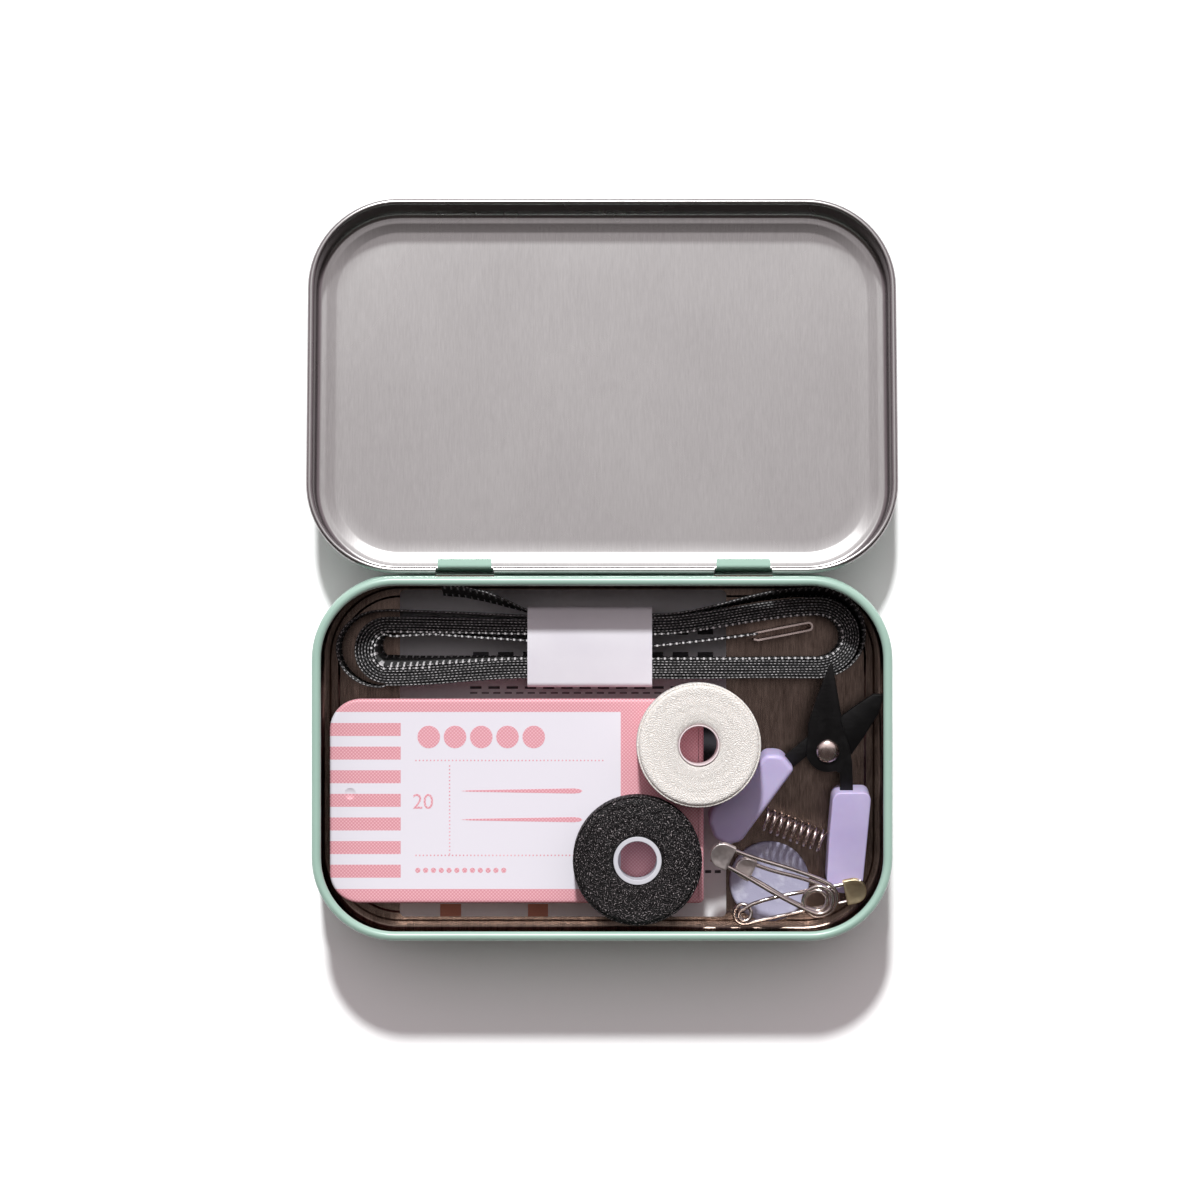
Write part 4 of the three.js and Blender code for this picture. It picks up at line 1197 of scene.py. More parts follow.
@dataclass
class NeedleTin:
    """The flat slide-lid tin of needles and what is printed on its lid."""

    pink: bpy.types.Material
    ink: bpy.types.Material
    label: bpy.types.Material
    steel: bpy.types.Material
    left: float = -44.64
    right: float = 16.69
    front: float = -24.0
    back: float = 9.49
    top: float = 11.98
    skirt: float = 2.2
    sheet: float = 0.3
    round_end: float = 5.0
    square_end: float = 0.8
    edge_radius: float = 0.5
    open_end: float = 0.85
    crown_inset: float = 0.4
    crown_sharp: float = 20.0
    dimple_place: Flat = (-41.3, -6.05)
    dimple_ball: float = 2.2
    dimple_depth: float = 0.22
    print_rise: float = 0.015
    rule_left: float = -30.5
    rule_right: float = 0.48
    rule_backs: Flat = (-0.6, -16.15)
    rule_across: Flat = (-24.99, -1.5)
    rule_end: float = -16.1
    dot_pitch: float = 0.6
    dot_radius: float = 0.14
    discs: tuple = ((-28.4, 3.25), 4.3, 1.85, 5)
    small_discs: tuple = ((-30.2, -18.6), 1.28, 0.42, 12)
    emblem_rows: Flat = (-5.6, -10.3)
    number_place: Flat = (-31.1, -8.5)
    number_size: float = 3.5
    needle_count: int = 20

    def lid(self) -> None:
        """Make the lid, a sleeve that is open at its right end."""
        form = Form("needle_lid_pan")
        form.block((self.left, self.front, self.top - self.skirt), (self.right, self.back, self.top))
        form.soften(self.round_end, 12, lambda edge: is_upright(edge) and edge.verts[0].co.x < 0.0)
        form.soften(self.square_end, 5, self.at_right_corner)
        form.soften(self.edge_radius, BEND_STEPS, self.on_crown_rim)
        form.mesh.normal_update()
        crown = [face for face in form.mesh.faces if face.normal.z > 0.999]
        bmesh.ops.inset_region(form.mesh, faces=crown, thickness=self.crown_inset, use_even_offset=True)
        low = self.top - self.skirt + NEAR
        under = [face for face in form.mesh.faces if all(spot.co.z < low for spot in face.verts)]
        bmesh.ops.delete(form.mesh, geom=under, context="FACES_ONLY")
        piece = form.finish([self.label])
        thicken(piece, self.sheet, -1.0)
        carve(piece, self.openings())
        round_off(piece, self.crown_sharp)
        settle(piece, Body.NEEDLE_LID, "needle_tin_lid")

    def at_right_corner(self, edge: bmesh.types.BMEdge) -> bool:
        """Tell whether an edge is one of the two upright ones at the right end."""
        return is_upright(edge) and all(spot.co.x > self.right - NEAR for spot in edge.verts)

    def on_crown_rim(self, edge: bmesh.types.BMEdge) -> bool:
        """Tell whether an edge runs round the lid's flat top."""
        on_top = all(spot.co.z > self.top - NEAR for spot in edge.verts)
        return on_top and any(abs(face.normal.z) < 0.5 for face in edge.link_faces)

    def openings(self) -> Form:
        """Give what is taken out of the lid: its whole right end, and the pressed catch dimple."""
        form = Form("lid_openings")
        form.block(
            (self.right - self.open_end, self.front - 1.0, self.top - self.skirt - 1.0),
            (self.right + 1.0, self.back + 1.0, self.top - self.sheet),
        )
        ball = bmesh.ops.create_uvsphere(form.mesh, u_segments=48, v_segments=48, radius=self.dimple_ball)
        lift = Vector((*self.dimple_place, self.top + self.dimple_ball - self.dimple_depth))
        bmesh.ops.translate(form.mesh, verts=ball["verts"], vec=lift)
        return form

    def printed(self, name: str, outlines: Sequence[Sequence[Flat]]) -> None:
        """Print flat shapes on the lid."""
        form = Form(name)
        for outline in outlines:
            form.prism(outline, self.top, self.top + self.print_rise)
        settle(form.finish([self.ink]), Body.NEEDLE_LID)

    def dots(self, start: float, end: float) -> list[float]:
        """Give the places of a rule's dots between its ends."""
        count = int(abs(end - start) / self.dot_pitch)
        step = math.copysign(self.dot_pitch, end - start)
        return [start + step * place for place in range(count + 1)]

    def rules(self) -> None:
        """Print the dotted rules round the middle field."""
        spots = [(x, y) for y in self.rule_backs for x in self.dots(self.rule_left, self.rule_right)]
        across, start = self.rule_across
        spots += [(across, y) for y in self.dots(start, self.rule_end)]
        self.printed("label_rules", [arc_points(spot, self.dot_radius, 0, 300, 5) for spot in spots])

    def disc_row(self, start: Flat, pitch: float, radius: float, count: int) -> list[list[Flat]]:
        """Give the outlines of a row of plain discs."""
        places = [(start[0] + pitch * place, start[1]) for place in range(count)]
        return [arc_points(place, radius, 0, 350, 35) for place in places]

    def emblems(self) -> None:
        """Print plain discs, two needles and a row of dots where the real label has words."""
        shapes = self.disc_row(*self.discs)
        for y in self.emblem_rows:
            shapes.append([
                (-21.8, y - 0.12), (-4.6, y - 0.42), (-3.6, y - 0.3), (-3.2, y),
                (-3.6, y + 0.3), (-4.6, y + 0.42), (-21.8, y + 0.12), (-23.2, y),
            ])
        shapes += self.disc_row(*self.small_discs)
        self.printed("label_emblems", shapes)

    def number(self) -> None:
        """Print how many needles the tin holds."""
        text = bpy.data.curves.new("needle_count", "FONT")
        text.body = str(self.needle_count)
        text.size = self.number_size
        text.resolution_u = 6
        form = Form("label_number")
        form.mesh.from_mesh(drawn_mesh("needle_count", text))
        form.lift(form.mesh.faces[:], self.print_rise)
        form.place(Matrix.Translation((*self.number_place, self.top)))
        settle(form.finish([self.ink]), Body.NEEDLE_LID)

    def build(self) -> None:
        """Make the lid and its prints, and finish the tray and the needles."""
        self.lid()
        self.rules()
        self.emblems()
        self.number()
        dress_node("needle_tin_tray", self.pink)
        for number in range(1, self.needle_count + 1):
            dress_node(f"needle_{number:02d}", self.steel)


def dress_node(name: str, material: bpy.types.Material) -> None:
    """Give a CAD node its finish."""
    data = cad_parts[name].data
    data.materials.clear()
    data.materials.append(material)


# The measuring tape


@dataclass(frozen=True)
class HankEnd:
    """One rounded end of the folded tape, in mm, for its outermost layer."""

    x: float
    y: float
    half: float
    reach: float
    spread_share: float


@dataclass
class MeasuringTape:
    """The black woven tape, folded in loops, with its band and its end clip.

    The two drifts are the shares of a pitch by which a run and a bend close in. The outermost
    layer leans and bulges out, and the innermost one slopes out at the left.
    """

    weave: bpy.types.Material
    paper: bpy.types.Material
    steel: bpy.types.Material
    loops: int = 8
    pitch: float = 0.445
    thickness: float = 0.33
    width: float = 10.0
    bottom: float = 1.12
    left_end: HankEnd = HankEnd(-35.4, 17.5, 6.15, 6.1, 1.17)
    right_end: HankEnd = HankEnd(35.4, 19.7, 6.9, 7.3, 0.95)
    waist_y: float = 18.0
    waist_half: float = 5.35
    run_drift: float = 0.35
    bend_drift: float = 0.15
    outer_lean: float = 1.3
    lean_reach: float = 24.0
    outer_bulge: float = 1.9
    outer_drift: float = 0.85
    bulge_back: float = 0.6
    second_gap: Flat = (0.25, 0.6)
    inner_slope: float = 1.6
    ripple: float = 0.03
    ripple_rate: float = 0.31
    run_steps: int = 40
    bend_steps: int = 28
    band_left: float = -12.24
    band_right: float = 8.2
    band_front: float = 11.42
    band_back: float = 24.6
    band_bottom: float = 0.88
    band_top: float = 11.48
    band_sheet: float = 0.22
    band_fold: float = 0.7
    clip_place: Point = (33.9, 21.35, 0.45)
    clip_degrees: float = 11.0
    clip_height: float = 10.3
    clip_bend: float = 0.62
    clip_sheet: float = 0.3

    def past_band(self, x: float) -> tuple[HankEnd, float]:
        """Give the end that lies beyond a place, and how far it is on the way there, 0 to 1."""
        if x > self.band_right:
            return self.right_end, (x - self.band_right) / (self.right_end.x - self.band_right)
        reached = (self.band_left - x) / (self.band_left - self.left_end.x)
        return self.left_end, max(reached, 0.0)

    def run(self, turn: float, from_x: float, to_x: float, side: float) -> list[tuple[Point, Flat]]:
        """Give one straight run of a loop.

        Args:
            turn: how many turns lie outside this one at its start.
            from_x: where the run starts.
            to_x: where it ends.
            side: 1 for the back run, -1 for the front one.

        Returns:
            Points at the lower edge, each with its lean towards the top.
        """
        stations = []
        for step in range(self.run_steps + 1):
            share = step / self.run_steps
            x = from_x + (to_x - from_x) * share
            end, past = self.past_band(x)
            eased = past * past * (3.0 - 2.0 * past)
            middle = self.waist_y + (end.y - self.waist_y) * eased
            half = self.waist_half + (end.half - self.waist_half) * eased
            inset = self.pitch * (turn + self.run_drift * share)
            ripple = self.ripple * math.sin(self.ripple_rate * x + 2.1 * round(turn))
            y = middle + side * (half - inset) + ripple
            lean = 0.0
            if side > 0.0 and turn < 1.0 and x > self.band_right:
                opened = min((x - self.band_right) / self.lean_reach, 1.0)
                lean = self.outer_lean * math.sin(opened * QUARTER_TURN) ** 2
            if side < 0.0 and turn > self.loops - 1 and x < self.band_left:
                slope = self.inner_slope * past
                y += slope
                lean = -slope
            if side > 0.0 and 0.9 < turn < 1.5 and x < self.band_left:
                y += self.second_gap[0] + self.second_gap[1] * past
            stations.append(((x, y, self.bottom), (0.0, lean)))
        return stations

    def bend(self, turn: float, end: HankEnd, start: float) -> list[tuple[Point, Flat]]:
        """Give one rounded end of a loop, from one run to the other.

        Args:
            turn: how many turns lie outside this one.
            end: the end's place and size.
            start: the first angle in degrees; the bend turns clockwise.

        Returns:
            Points at the lower edge, each with its lean.
        """
        stations = []
        at_left = end is self.left_end
        for step in range(1, self.bend_steps):
            share = step / self.bend_steps
            angle = math.radians(start - 180.0 * share)
            inset = self.pitch * (turn + self.bend_drift * share)
            tall = end.half - inset
            wide = end.reach - inset * end.spread_share
            loose = 0.0
            lean = 0.0
            if turn < 0.6 and at_left:
                loose = self.outer_bulge * math.sin(math.pi * share) + self.outer_drift * share
                tall += loose * self.bulge_back
            elif turn < 0.6:
                lean = self.outer_lean * math.cos(share * QUARTER_TURN) ** 2
            elif turn > self.loops - 1 and at_left:
                lean = self.inner_slope * (1.0 - share)
                loose = -lean
                tall += loose
            x = end.x + (wide + loose) * math.cos(angle)
            y = end.y + tall * math.sin(angle)
            leaning = (lean * math.cos(angle), lean * math.sin(angle))
            stations.append(((x, y, self.bottom), leaning))
        return stations

    def stations(self) -> list[tuple[Point, Flat]]:
        """Give the whole route, from the loose outer end to the clip."""
        left, right = self.left_end, self.right_end
        loose_end = [
            (-26.4, 26.6, 1.5), (-23.0, 26.3, 1.6), (-19.0, 25.5, 1.5), (-15.6, 24.6, 1.0),
            (-12.6, 23.85, 0.3), (-9.0, 23.5, 0.0),
        ]
        route = [((x, y, self.bottom), (0.0, lean)) for x, y, lean in loose_end]
        for loop in range(self.loops):
            start_x = left.x if loop else self.band_left + 6.0
            route += self.run(float(loop), start_x, right.x, 1.0)
            route += self.bend(loop + 0.35, right, 90.0)
            route += self.run(loop + 0.5, right.x, left.x, -1.0)
            route += self.bend(loop + 0.85 if loop else 0.5, left, 270.0)
        inner = self.loops * self.pitch
        tail = [
            (left.x + 1.0, left.y + left.half - inner - 0.35), (-28.0, 20.1), (-20.0, 19.55),
            (-10.0, 18.9), (2.0, 18.3), (9.0, 18.2), (16.0, 18.95), (22.0, 19.7), (25.6, 20.2),
        ]
        return route + [((x, y, self.bottom), (0.0, 0.0)) for x, y in tail]

    def lines(self, stations: Sequence[tuple[Point, Flat]]) -> list[tuple[float, list[Vector]]]:
        """Give the lines that bound the strip's section, all along it.

        Args:
            stations: the route.

        Returns:
            For each line the way round the section, 0 to 4, and its points.
        """
        spots = [Vector(spot[:2]) for spot, lean in stations]
        around = zip([spots[0], *spots], [*spots[1:], spots[-1]])
        across = [(last - first).normalized().orthogonal() for first, last in around]
        shares = (0.0, 0.04, 0.5, 0.96, 1.0)
        outline = [(-1.0, share, share) for share in shares]
        outline += [(1.0, share, 3.0 - share) for share in reversed(shares)]
        outline.append((-1.0, 0.0, 4.0))
        lines = []
        for side, share, way_round in outline:
            out = side * self.thickness / 2.0
            points = [
                Vector((
                    spot[0] + lean[0] * share + aside[0] * out,
                    spot[1] + lean[1] * share + aside[1] * out,
                    spot[2] + self.width * share,
                ))
                for (spot, lean), aside in zip(stations, across)
            ]
            lines.append((way_round, points))
        return lines

    def ribbon(self) -> tuple[bpy.types.Object, float]:
        """Make the folded strip, whose map gives the length and the way round its section.

        Returns:
            The strip and its length in mm.
        """
        stations = self.stations()
        travelled = [0.0]
        for (first, _), (second, _) in zip(stations, stations[1:]):
            travelled.append(travelled[-1] + (Vector(second) - Vector(first)).length)
        lines = self.lines(stations)
        form = Form("tape_folds")
        edges = form.chain(lines[0][1])
        places = {vert: (number, 0.0) for number, vert in enumerate(form.mesh.verts)}
        for (_, last), (way_round, line) in zip(lines, lines[1:]):
            found = {tuple(round(part, 4) for part in spot): number for number, spot in enumerate(last)}
            edges = form.extrude(edges, ORIGIN)
            for vert in ends_of(edges):
                number = found[tuple(round(part, 4) for part in vert.co)]
                places[vert] = (number, way_round)
                vert.co = line[number]
        strip_map = form.mesh.loops.layers.uv.new("strip")
        for face in form.mesh.faces:
            for corner in face.loops:
                number, way_round = places[corner.vert]
                corner[strip_map].uv = (travelled[number], way_round)
        bmesh.ops.remove_doubles(form.mesh, verts=form.mesh.verts, dist=WELD)
        form.fill_open(lambda edge: True)
        bmesh.ops.recalc_face_normals(form.mesh, faces=form.mesh.faces)
        logger.info("tape: %d stations, %.0f mm", len(stations), travelled[-1])
        piece = form.finish([self.weave], SHARP_FOLD)
        settle(piece, Body.BASE, "tape_hank")
        return piece, travelled[-1]

    def band(self) -> bpy.types.Object:
        """Make the paper band, folded round the hank, with a crease along its top."""
        half = self.band_sheet / 2.0
        fold = self.band_fold
        front, back = self.band_front + half + fold, self.band_back - half - fold
        low, top = self.band_bottom + half + fold, self.band_top - half
        high = top - fold
        line = arc_points((front, low), fold, 270, 180, BEND_STEPS)
        line += arc_points((front, high), fold, 180, 90, BEND_STEPS)
        line += [(17.0, top + 0.02), (22.3, top + 0.02), (22.5, top - 0.03), (22.7, top)]
        line += arc_points((back, high), fold, 90, 0, BEND_STEPS)
        line += arc_points((back, low), fold, 0, -90, BEND_STEPS)
        form = Form("band_sleeve")
        edges = form.chain([(self.band_left, y, z) for y, z in line], closed=True)
        length = self.band_right - self.band_left
        form.extrude(edges, (length, 0.0, 0.0), (0.01, 0.24, 0.25, 0.25, 0.24, 0.01))
        form.look(UPRIGHT, face_height)
        piece = form.finish([self.paper])
        thicken(piece, self.band_sheet)
        round_off(piece, SHARP_FOLD)
        settle(piece, Body.BASE, "paper_band")
        return piece

    def clip(self) -> bpy.types.Object:
        """Make the bent metal clip on the tape's inner end."""
        bend = self.clip_bend
        line = [(-9.2, bend * 0.55), (-8.6, bend), (-4.0, bend * 1.04)]
        line += arc_points((0.0, 0.0), bend, 90, -90, 10)
        line += [(-4.0, -bend * 1.04), (-8.6, -bend), (-9.2, -bend * 0.55)]
        form = Form("clip_strip")
        edges = form.chain([(x, y, 0.0) for x, y in line])
        form.extrude(edges, (0.0, 0.0, self.clip_height), (0.03, 0.94, 0.03))
        turn = Matrix.Rotation(math.radians(self.clip_degrees), 4, "Z")
        form.place(Matrix.Translation(self.clip_place) @ turn)
        piece = form.finish([self.steel])
        thicken(piece, self.clip_sheet)
        round_off(piece, SHARP_FOLD)
        settle(piece, Body.BASE, "tape_clip")
        return piece

    def build(self) -> None:
        """Make the tape, its band and its clip."""
        ribbon, length = self.ribbon()
        band = self.band()
        clip = self.clip()


# Thread and its cores


@dataclass
class Bobbin:
    """A sideless bobbin: a card tube wound full of thread."""

    name: str
    thread: bpy.types.Material
    card: bpy.types.Material
    slot: Slot
    place: Flat
    radius: float
    core_outer: float
    core_inner: float
    bottom: float = 12.08
    height: float = 7.9
    strand_radius: float = 0.17
    strand_pitch: float = 0.34
    round_edge: float = 0.55
    face_ripple: float = 0.05
    face_drop: float = 0.04
    inner_rim: float = 0.3
    core_lip: float = 0.08
    core_gap: float = 0.05
    face_waves: float = 19.0
    strand_steps: int = 48
    bare_ends: float = 0.9
    segments: int = 96

    def seat(self, form: Form, finish: bpy.types.Material, sharp: float, part: str) -> None:
        """Set one part of the bobbin in its place.

        Args:
            form: the part, drawn round the upright axis.
            finish: its material.
            sharp: the angle in degrees from which an edge stays sharp.
            part: the end of its CAD node's name.
        """
        form.place(Matrix.Translation((*self.place, 0.0)))
        settle(form.finish([finish], sharp), Body.BASE, f"{self.name}_bobbin_{part}")

    def core(self) -> None:
        """Make the card tube."""
        form = Form(f"{self.name}_core_tube")
        top = self.bottom + self.height
        lip = self.core_lip
        profile = [
            (self.core_inner, self.bottom), (self.core_outer, self.bottom),
            (self.core_outer, top - lip), (self.core_outer - lip, top),
            (self.core_inner + lip, top), (self.core_inner, top - lip),
        ]
        form.lathe(profile, self.segments, closed=True)
        self.seat(form, self.card, SHARP, "core")

    def body(self) -> None:
        """Make the wound thread, softly rounded at its edges and a little uneven on its ends."""
        form = Form(f"{self.name}_thread_body")
        inner = self.core_outer + self.core_gap
        rim = self.radius - self.strand_radius * 2.0 - self.round_edge
        top = self.bottom + self.height
        profile = [(inner, self.bottom + 0.1)]
        profile += arc_points((rim, self.bottom + self.round_edge), self.round_edge, -90, 0, BEND_STEPS)
        profile += arc_points((rim, top - self.round_edge), self.round_edge, 0, 90, BEND_STEPS)
        for step in range(1, 10):
            share = step / 10
            out = rim + (inner + self.inner_rim - rim) * share
            wave = self.face_ripple * math.sin(share * self.face_waves)
            profile.append((out, top + wave - self.face_drop))
        profile += [(inner + self.inner_rim, top - 0.06), (inner, top - 0.35)]
        form.lathe(profile, self.segments, closed=True)
        self.seat(form, self.thread, SHARP_SOFT, "thread")

    def turns(self) -> None:
        """Make the outermost layer of turns, one strand wound round and round."""
        form = Form(f"{self.name}_outer_turns")
        radius = self.radius - self.strand_radius
        count = int((self.height - self.bare_ends) / self.strand_pitch)
        start = self.bottom + (self.height - count * self.strand_pitch) / 2.0
        section = arc_points((radius, start), self.strand_radius, 0, 300, 5)
        ring = [(out, 0.0, up) for out, up in section]
        form.coil(ring, UPRIGHT, count, self.strand_steps, self.strand_pitch)
        self.seat(form, self.thread, SHARP_COIL, "turns")

    def build(self) -> None:
        """Make the core, the wound body and the outer turns."""
        self.core()
        self.body()
        self.turns()


# The snips


@dataclass
class Snips:
    """The little folding snips: crossed black blades, lavender grips, a rivet and a spring."""

    black: bpy.types.Material
    plastic: bpy.types.Material
    bright: bpy.types.Material
    rivet_place: Point = (37.09, 1.04, 9.65)
    slope_sine: float = 0.19
    blade_sheet: float = 0.9
    blade_gap: float = 0.1
    blade_ease: float = 0.16
    blade_sharp: float = 30.0
    grip_corner: float = 0.55
    grip_ease: float = 1.0
    grip_low: float = -3.1
    grip_high: float = 2.6
    rivet_radius: float = 1.95
    rivet_stem: float = 1.0
    rivet_dome: float = 0.8
    rivet_steps: int = 6
    rivet_sides: int = 48
    boss_radius: float = 3.55
    spring_start: Flat = (-10.3, -11.6)
    spring_end: Flat = (-0.3, -15.6)
    spring_radius: float = 1.75
    spring_wire: float = 0.26
    spring_curls: int = 9
    spring_steps: int = 28
    spring_keep: float = 0.4

    def lie(self) -> Matrix:
        """Give the snips' tilted plane, in mm."""
        turn = Matrix.Rotation(math.asin(self.slope_sine), 4, "X")
        return Matrix.Translation(self.rivet_place) @ turn

    def right_outline(self) -> list[Flat]:
        """Give the outline of the blade that runs up and its tang."""
        blade = [
            (3.5, 0.8), (2.14, 4.95), (2.13, 6.12), (1.4, 10.4), (0.56, 14.6), (0.2, 14.5), (-0.4, 13.0),
            (-1.9, 9.0), (-3.28, 4.61), (-3.27, 3.44),
        ]
        boss = arc_points((0.0, 0.0), self.boss_radius, 180, 290, 14)
        return blade + boss + [(2.0, -3.7), (2.2, -11.6), (4.4, -11.6), (4.05, -2.0)]

    def left_outline(self) -> list[Flat]:
        """Give the outline of the blade that runs right and its tang."""
        return [
            (9.2, 9.3), (7.4, 9.3), (4.6, 7.4), (2.11, 5.52), (0.0, 3.7), (-2.28, 3.01),
            (-10.98, -4.44), (-9.42, -6.26), (-2.4, -0.25), (-2.6, -2.4), (1.5, -3.3), (3.6, -1.4),
            (6.11, 2.4), (8.4, 6.2),
        ]

    def right_grip(self) -> list[Flat]:
        """Give the outline of the grip beside the wall."""
        return [
            (7.1, -7.5), (6.4, -6.6), (1.6, -6.6), (0.8, -7.5), (0.3, -14.0), (-0.05, -21.8),
            (0.8, -23.3), (2.9, -23.8), (5.0, -23.3), (5.95, -21.9), (6.6, -14.0),
        ]

    def left_grip(self) -> list[Flat]:
        """Give the outline of the moving grip."""
        return [
            (-5.56, -2.81), (-7.35, -0.6), (-8.5, -0.25), (-10.3, -0.3), (-11.3, -1.5),
            (-13.2, -4.2), (-19.0, -9.4), (-19.6, -11.6), (-18.6, -14.4), (-16.4, -15.6),
            (-14.1, -14.89),
        ]

    def blade(self, name: str, outline: Sequence[Flat], low: float, body: Body, node: str) -> None:
        """Make one blade with its edges eased.

        Args:
            name: the piece's name.
            outline: its outline in the snips' plane.
            low: the height of its lower face off that plane.
            body: the body that it moves with.
            node: the CAD node that it stands for.
        """
        form = Form(name)
        form.prism(outline, low, low + self.blade_sheet)
        form.soften(self.blade_ease, 2, is_level)
        form.point_outward()
        form.place(self.lie())
        settle(form.finish([self.black], self.blade_sharp), body, node)

    def grip(self, name: str, outline: Sequence[Flat], body: Body, node: str) -> None:
        """Make one soft grip, well rounded all round.

        Args:
            name: the piece's name.
            outline: its outline in the snips' plane.
            body: the body that it moves with.
            node: the CAD node that it stands for.
        """
        form = Form(name)
        form.prism(outline, self.grip_low, self.grip_high)
        form.soften(self.grip_corner, 3, is_upright)
        form.soften(self.grip_ease, 5, is_level)
        form.point_outward()
        form.place(self.lie())
        settle(form.finish([self.plastic], SHARP_SOFT), body, node)

    def rivet(self) -> None:
        """Make the domed rivet."""
        reach = self.blade_sheet + self.blade_gap / 2.0
        radius, stem, dome = self.rivet_radius, self.rivet_stem, self.rivet_dome
        profile = [(0.0, reach + 0.05 + dome)]
        for step in range(1, self.rivet_steps + 1):
            angle = QUARTER_TURN * step / self.rivet_steps
            profile.append((radius * math.sin(angle), reach + 0.05 + dome * math.cos(angle)))
        profile += [(stem, reach + 0.02), (stem, -reach - 0.02), (radius, -reach - 0.05)]
        profile += [(radius * 0.7, -reach - 0.7), (0.0, -reach - 0.85)]
        form = Form("rivet")
        form.lathe(profile, self.rivet_sides)
        form.place(self.lie())
        settle(form.finish([self.bright], SHARP_STEEL), Body.BASE, "snips_rivet")

    def spring(self) -> None:
        """Wind the coil spring that holds the grips apart."""
        start, end = Vector((*self.spring_start, 0.0)), Vector((*self.spring_end, 0.0))
        way = end - start
        section = arc_points((self.spring_radius, 0.0), self.spring_wire, 0, 324, 9)
        form = Form("grip_spring")
        form.coil(
            [(along, out, 0.0) for out, along in section], (1.0, 0.0, 0.0), self.spring_curls,
            self.spring_steps, way.length / self.spring_curls,
        )
        heading = Matrix.Rotation(math.atan2(way.y, way.x), 4, "Z")
        form.place(self.lie() @ Matrix.Translation(start) @ heading)
        piece = form.finish([self.bright], SHARP_COIL)
        settle(piece, Body.BASE, "snips_spring")
        anchor = self.lie() @ end * MILLIMETRE
        along = (self.lie().to_3x3() @ -way).normalized()
        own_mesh(piece)

    def build(self) -> None:
        """Make the blades, the grips, the rivet and the spring."""
        high = self.blade_gap / 2.0
        low = -high - self.blade_sheet
        fixed, moving = Body.BASE, Body.SNIPS_LEFT
        self.blade("blade_up", self.right_outline(), high, fixed, "snips_blade_right")
        self.blade("blade_across", self.left_outline(), low, moving, "snips_blade_left")
        self.grip("grip_near_wall", self.right_grip(), fixed, "snips_grip_right")
        self.grip("grip_moving", self.left_grip(), moving, "snips_grip_left")
        self.rivet()
        self.spring()


# Chalk and pins


@dataclass
class ChalkDisc:
    """The round piece of tailor's chalk."""

    chalk: bpy.types.Material
    place: Flat = (27.86, -21.15)
    radius: float = 6.65
    bottom: float = 0.58
    thickness: float = 1.6
    round_edge: float = 0.4
    segments: int = 72
    sharp: float = 50.0

    def build(self) -> None:
        """Make the disc with a low rim and a worn face."""
        top = self.bottom + self.thickness
        edge = self.round_edge
        rim = self.radius - edge
        profile = [(0.0, self.bottom)]
        profile += arc_points((rim, self.bottom + edge), edge, -90, 0, 4)
        profile += arc_points((rim, top - edge), edge, 0, 90, 4)
        profile += [(rim - 0.4, top), (rim - 0.75, top - 0.13), (2.5, top - 0.16), (0.0, top - 0.1)]
        form = Form("chalk_round")
        form.lathe(profile, self.segments)
        form.place(Matrix.Translation((*self.place, 0.0)))
        settle(form.finish([self.chalk], self.sharp), Body.BASE, "chalk_disc")


@dataclass(frozen=True)
class PinPlace:
    """Where a safety pin lies in the snips' plane, and its size, in mm."""

    name: str
    finish: str
    origin: Point
    turn_degrees: float
    length: float
    bend_radius: float
    ring_radius: float
    mid_spread: float
    tail_spread: float
    cap_length: float = 3.6
    cap_half_width: float = 2.1


PINS = (
    PinPlace(
        "pin_top", "pin_cap_plate", origin=(-1.57, -23.38, 7.1), turn_degrees=154.9, length=19.5,
        bend_radius=3.0, ring_radius=2.3, mid_spread=2.25, tail_spread=1.45,
    ),
    PinPlace(
        "pin_middle", "pin_cap_plate", origin=(-1.82, -23.92, 5.4), turn_degrees=155.6, length=14.55,
        bend_radius=2.4, ring_radius=1.7, mid_spread=1.8, tail_spread=1.15, cap_length=3.0,
        cap_half_width=1.8,
    ),
    PinPlace(
        "pin_low", "pin_cap_brass", origin=(-13.6, -26.9, 3.5), turn_degrees=12.2, length=20.5,
        bend_radius=1.7, ring_radius=1.0, mid_spread=1.6, tail_spread=1.45,
    ),
)


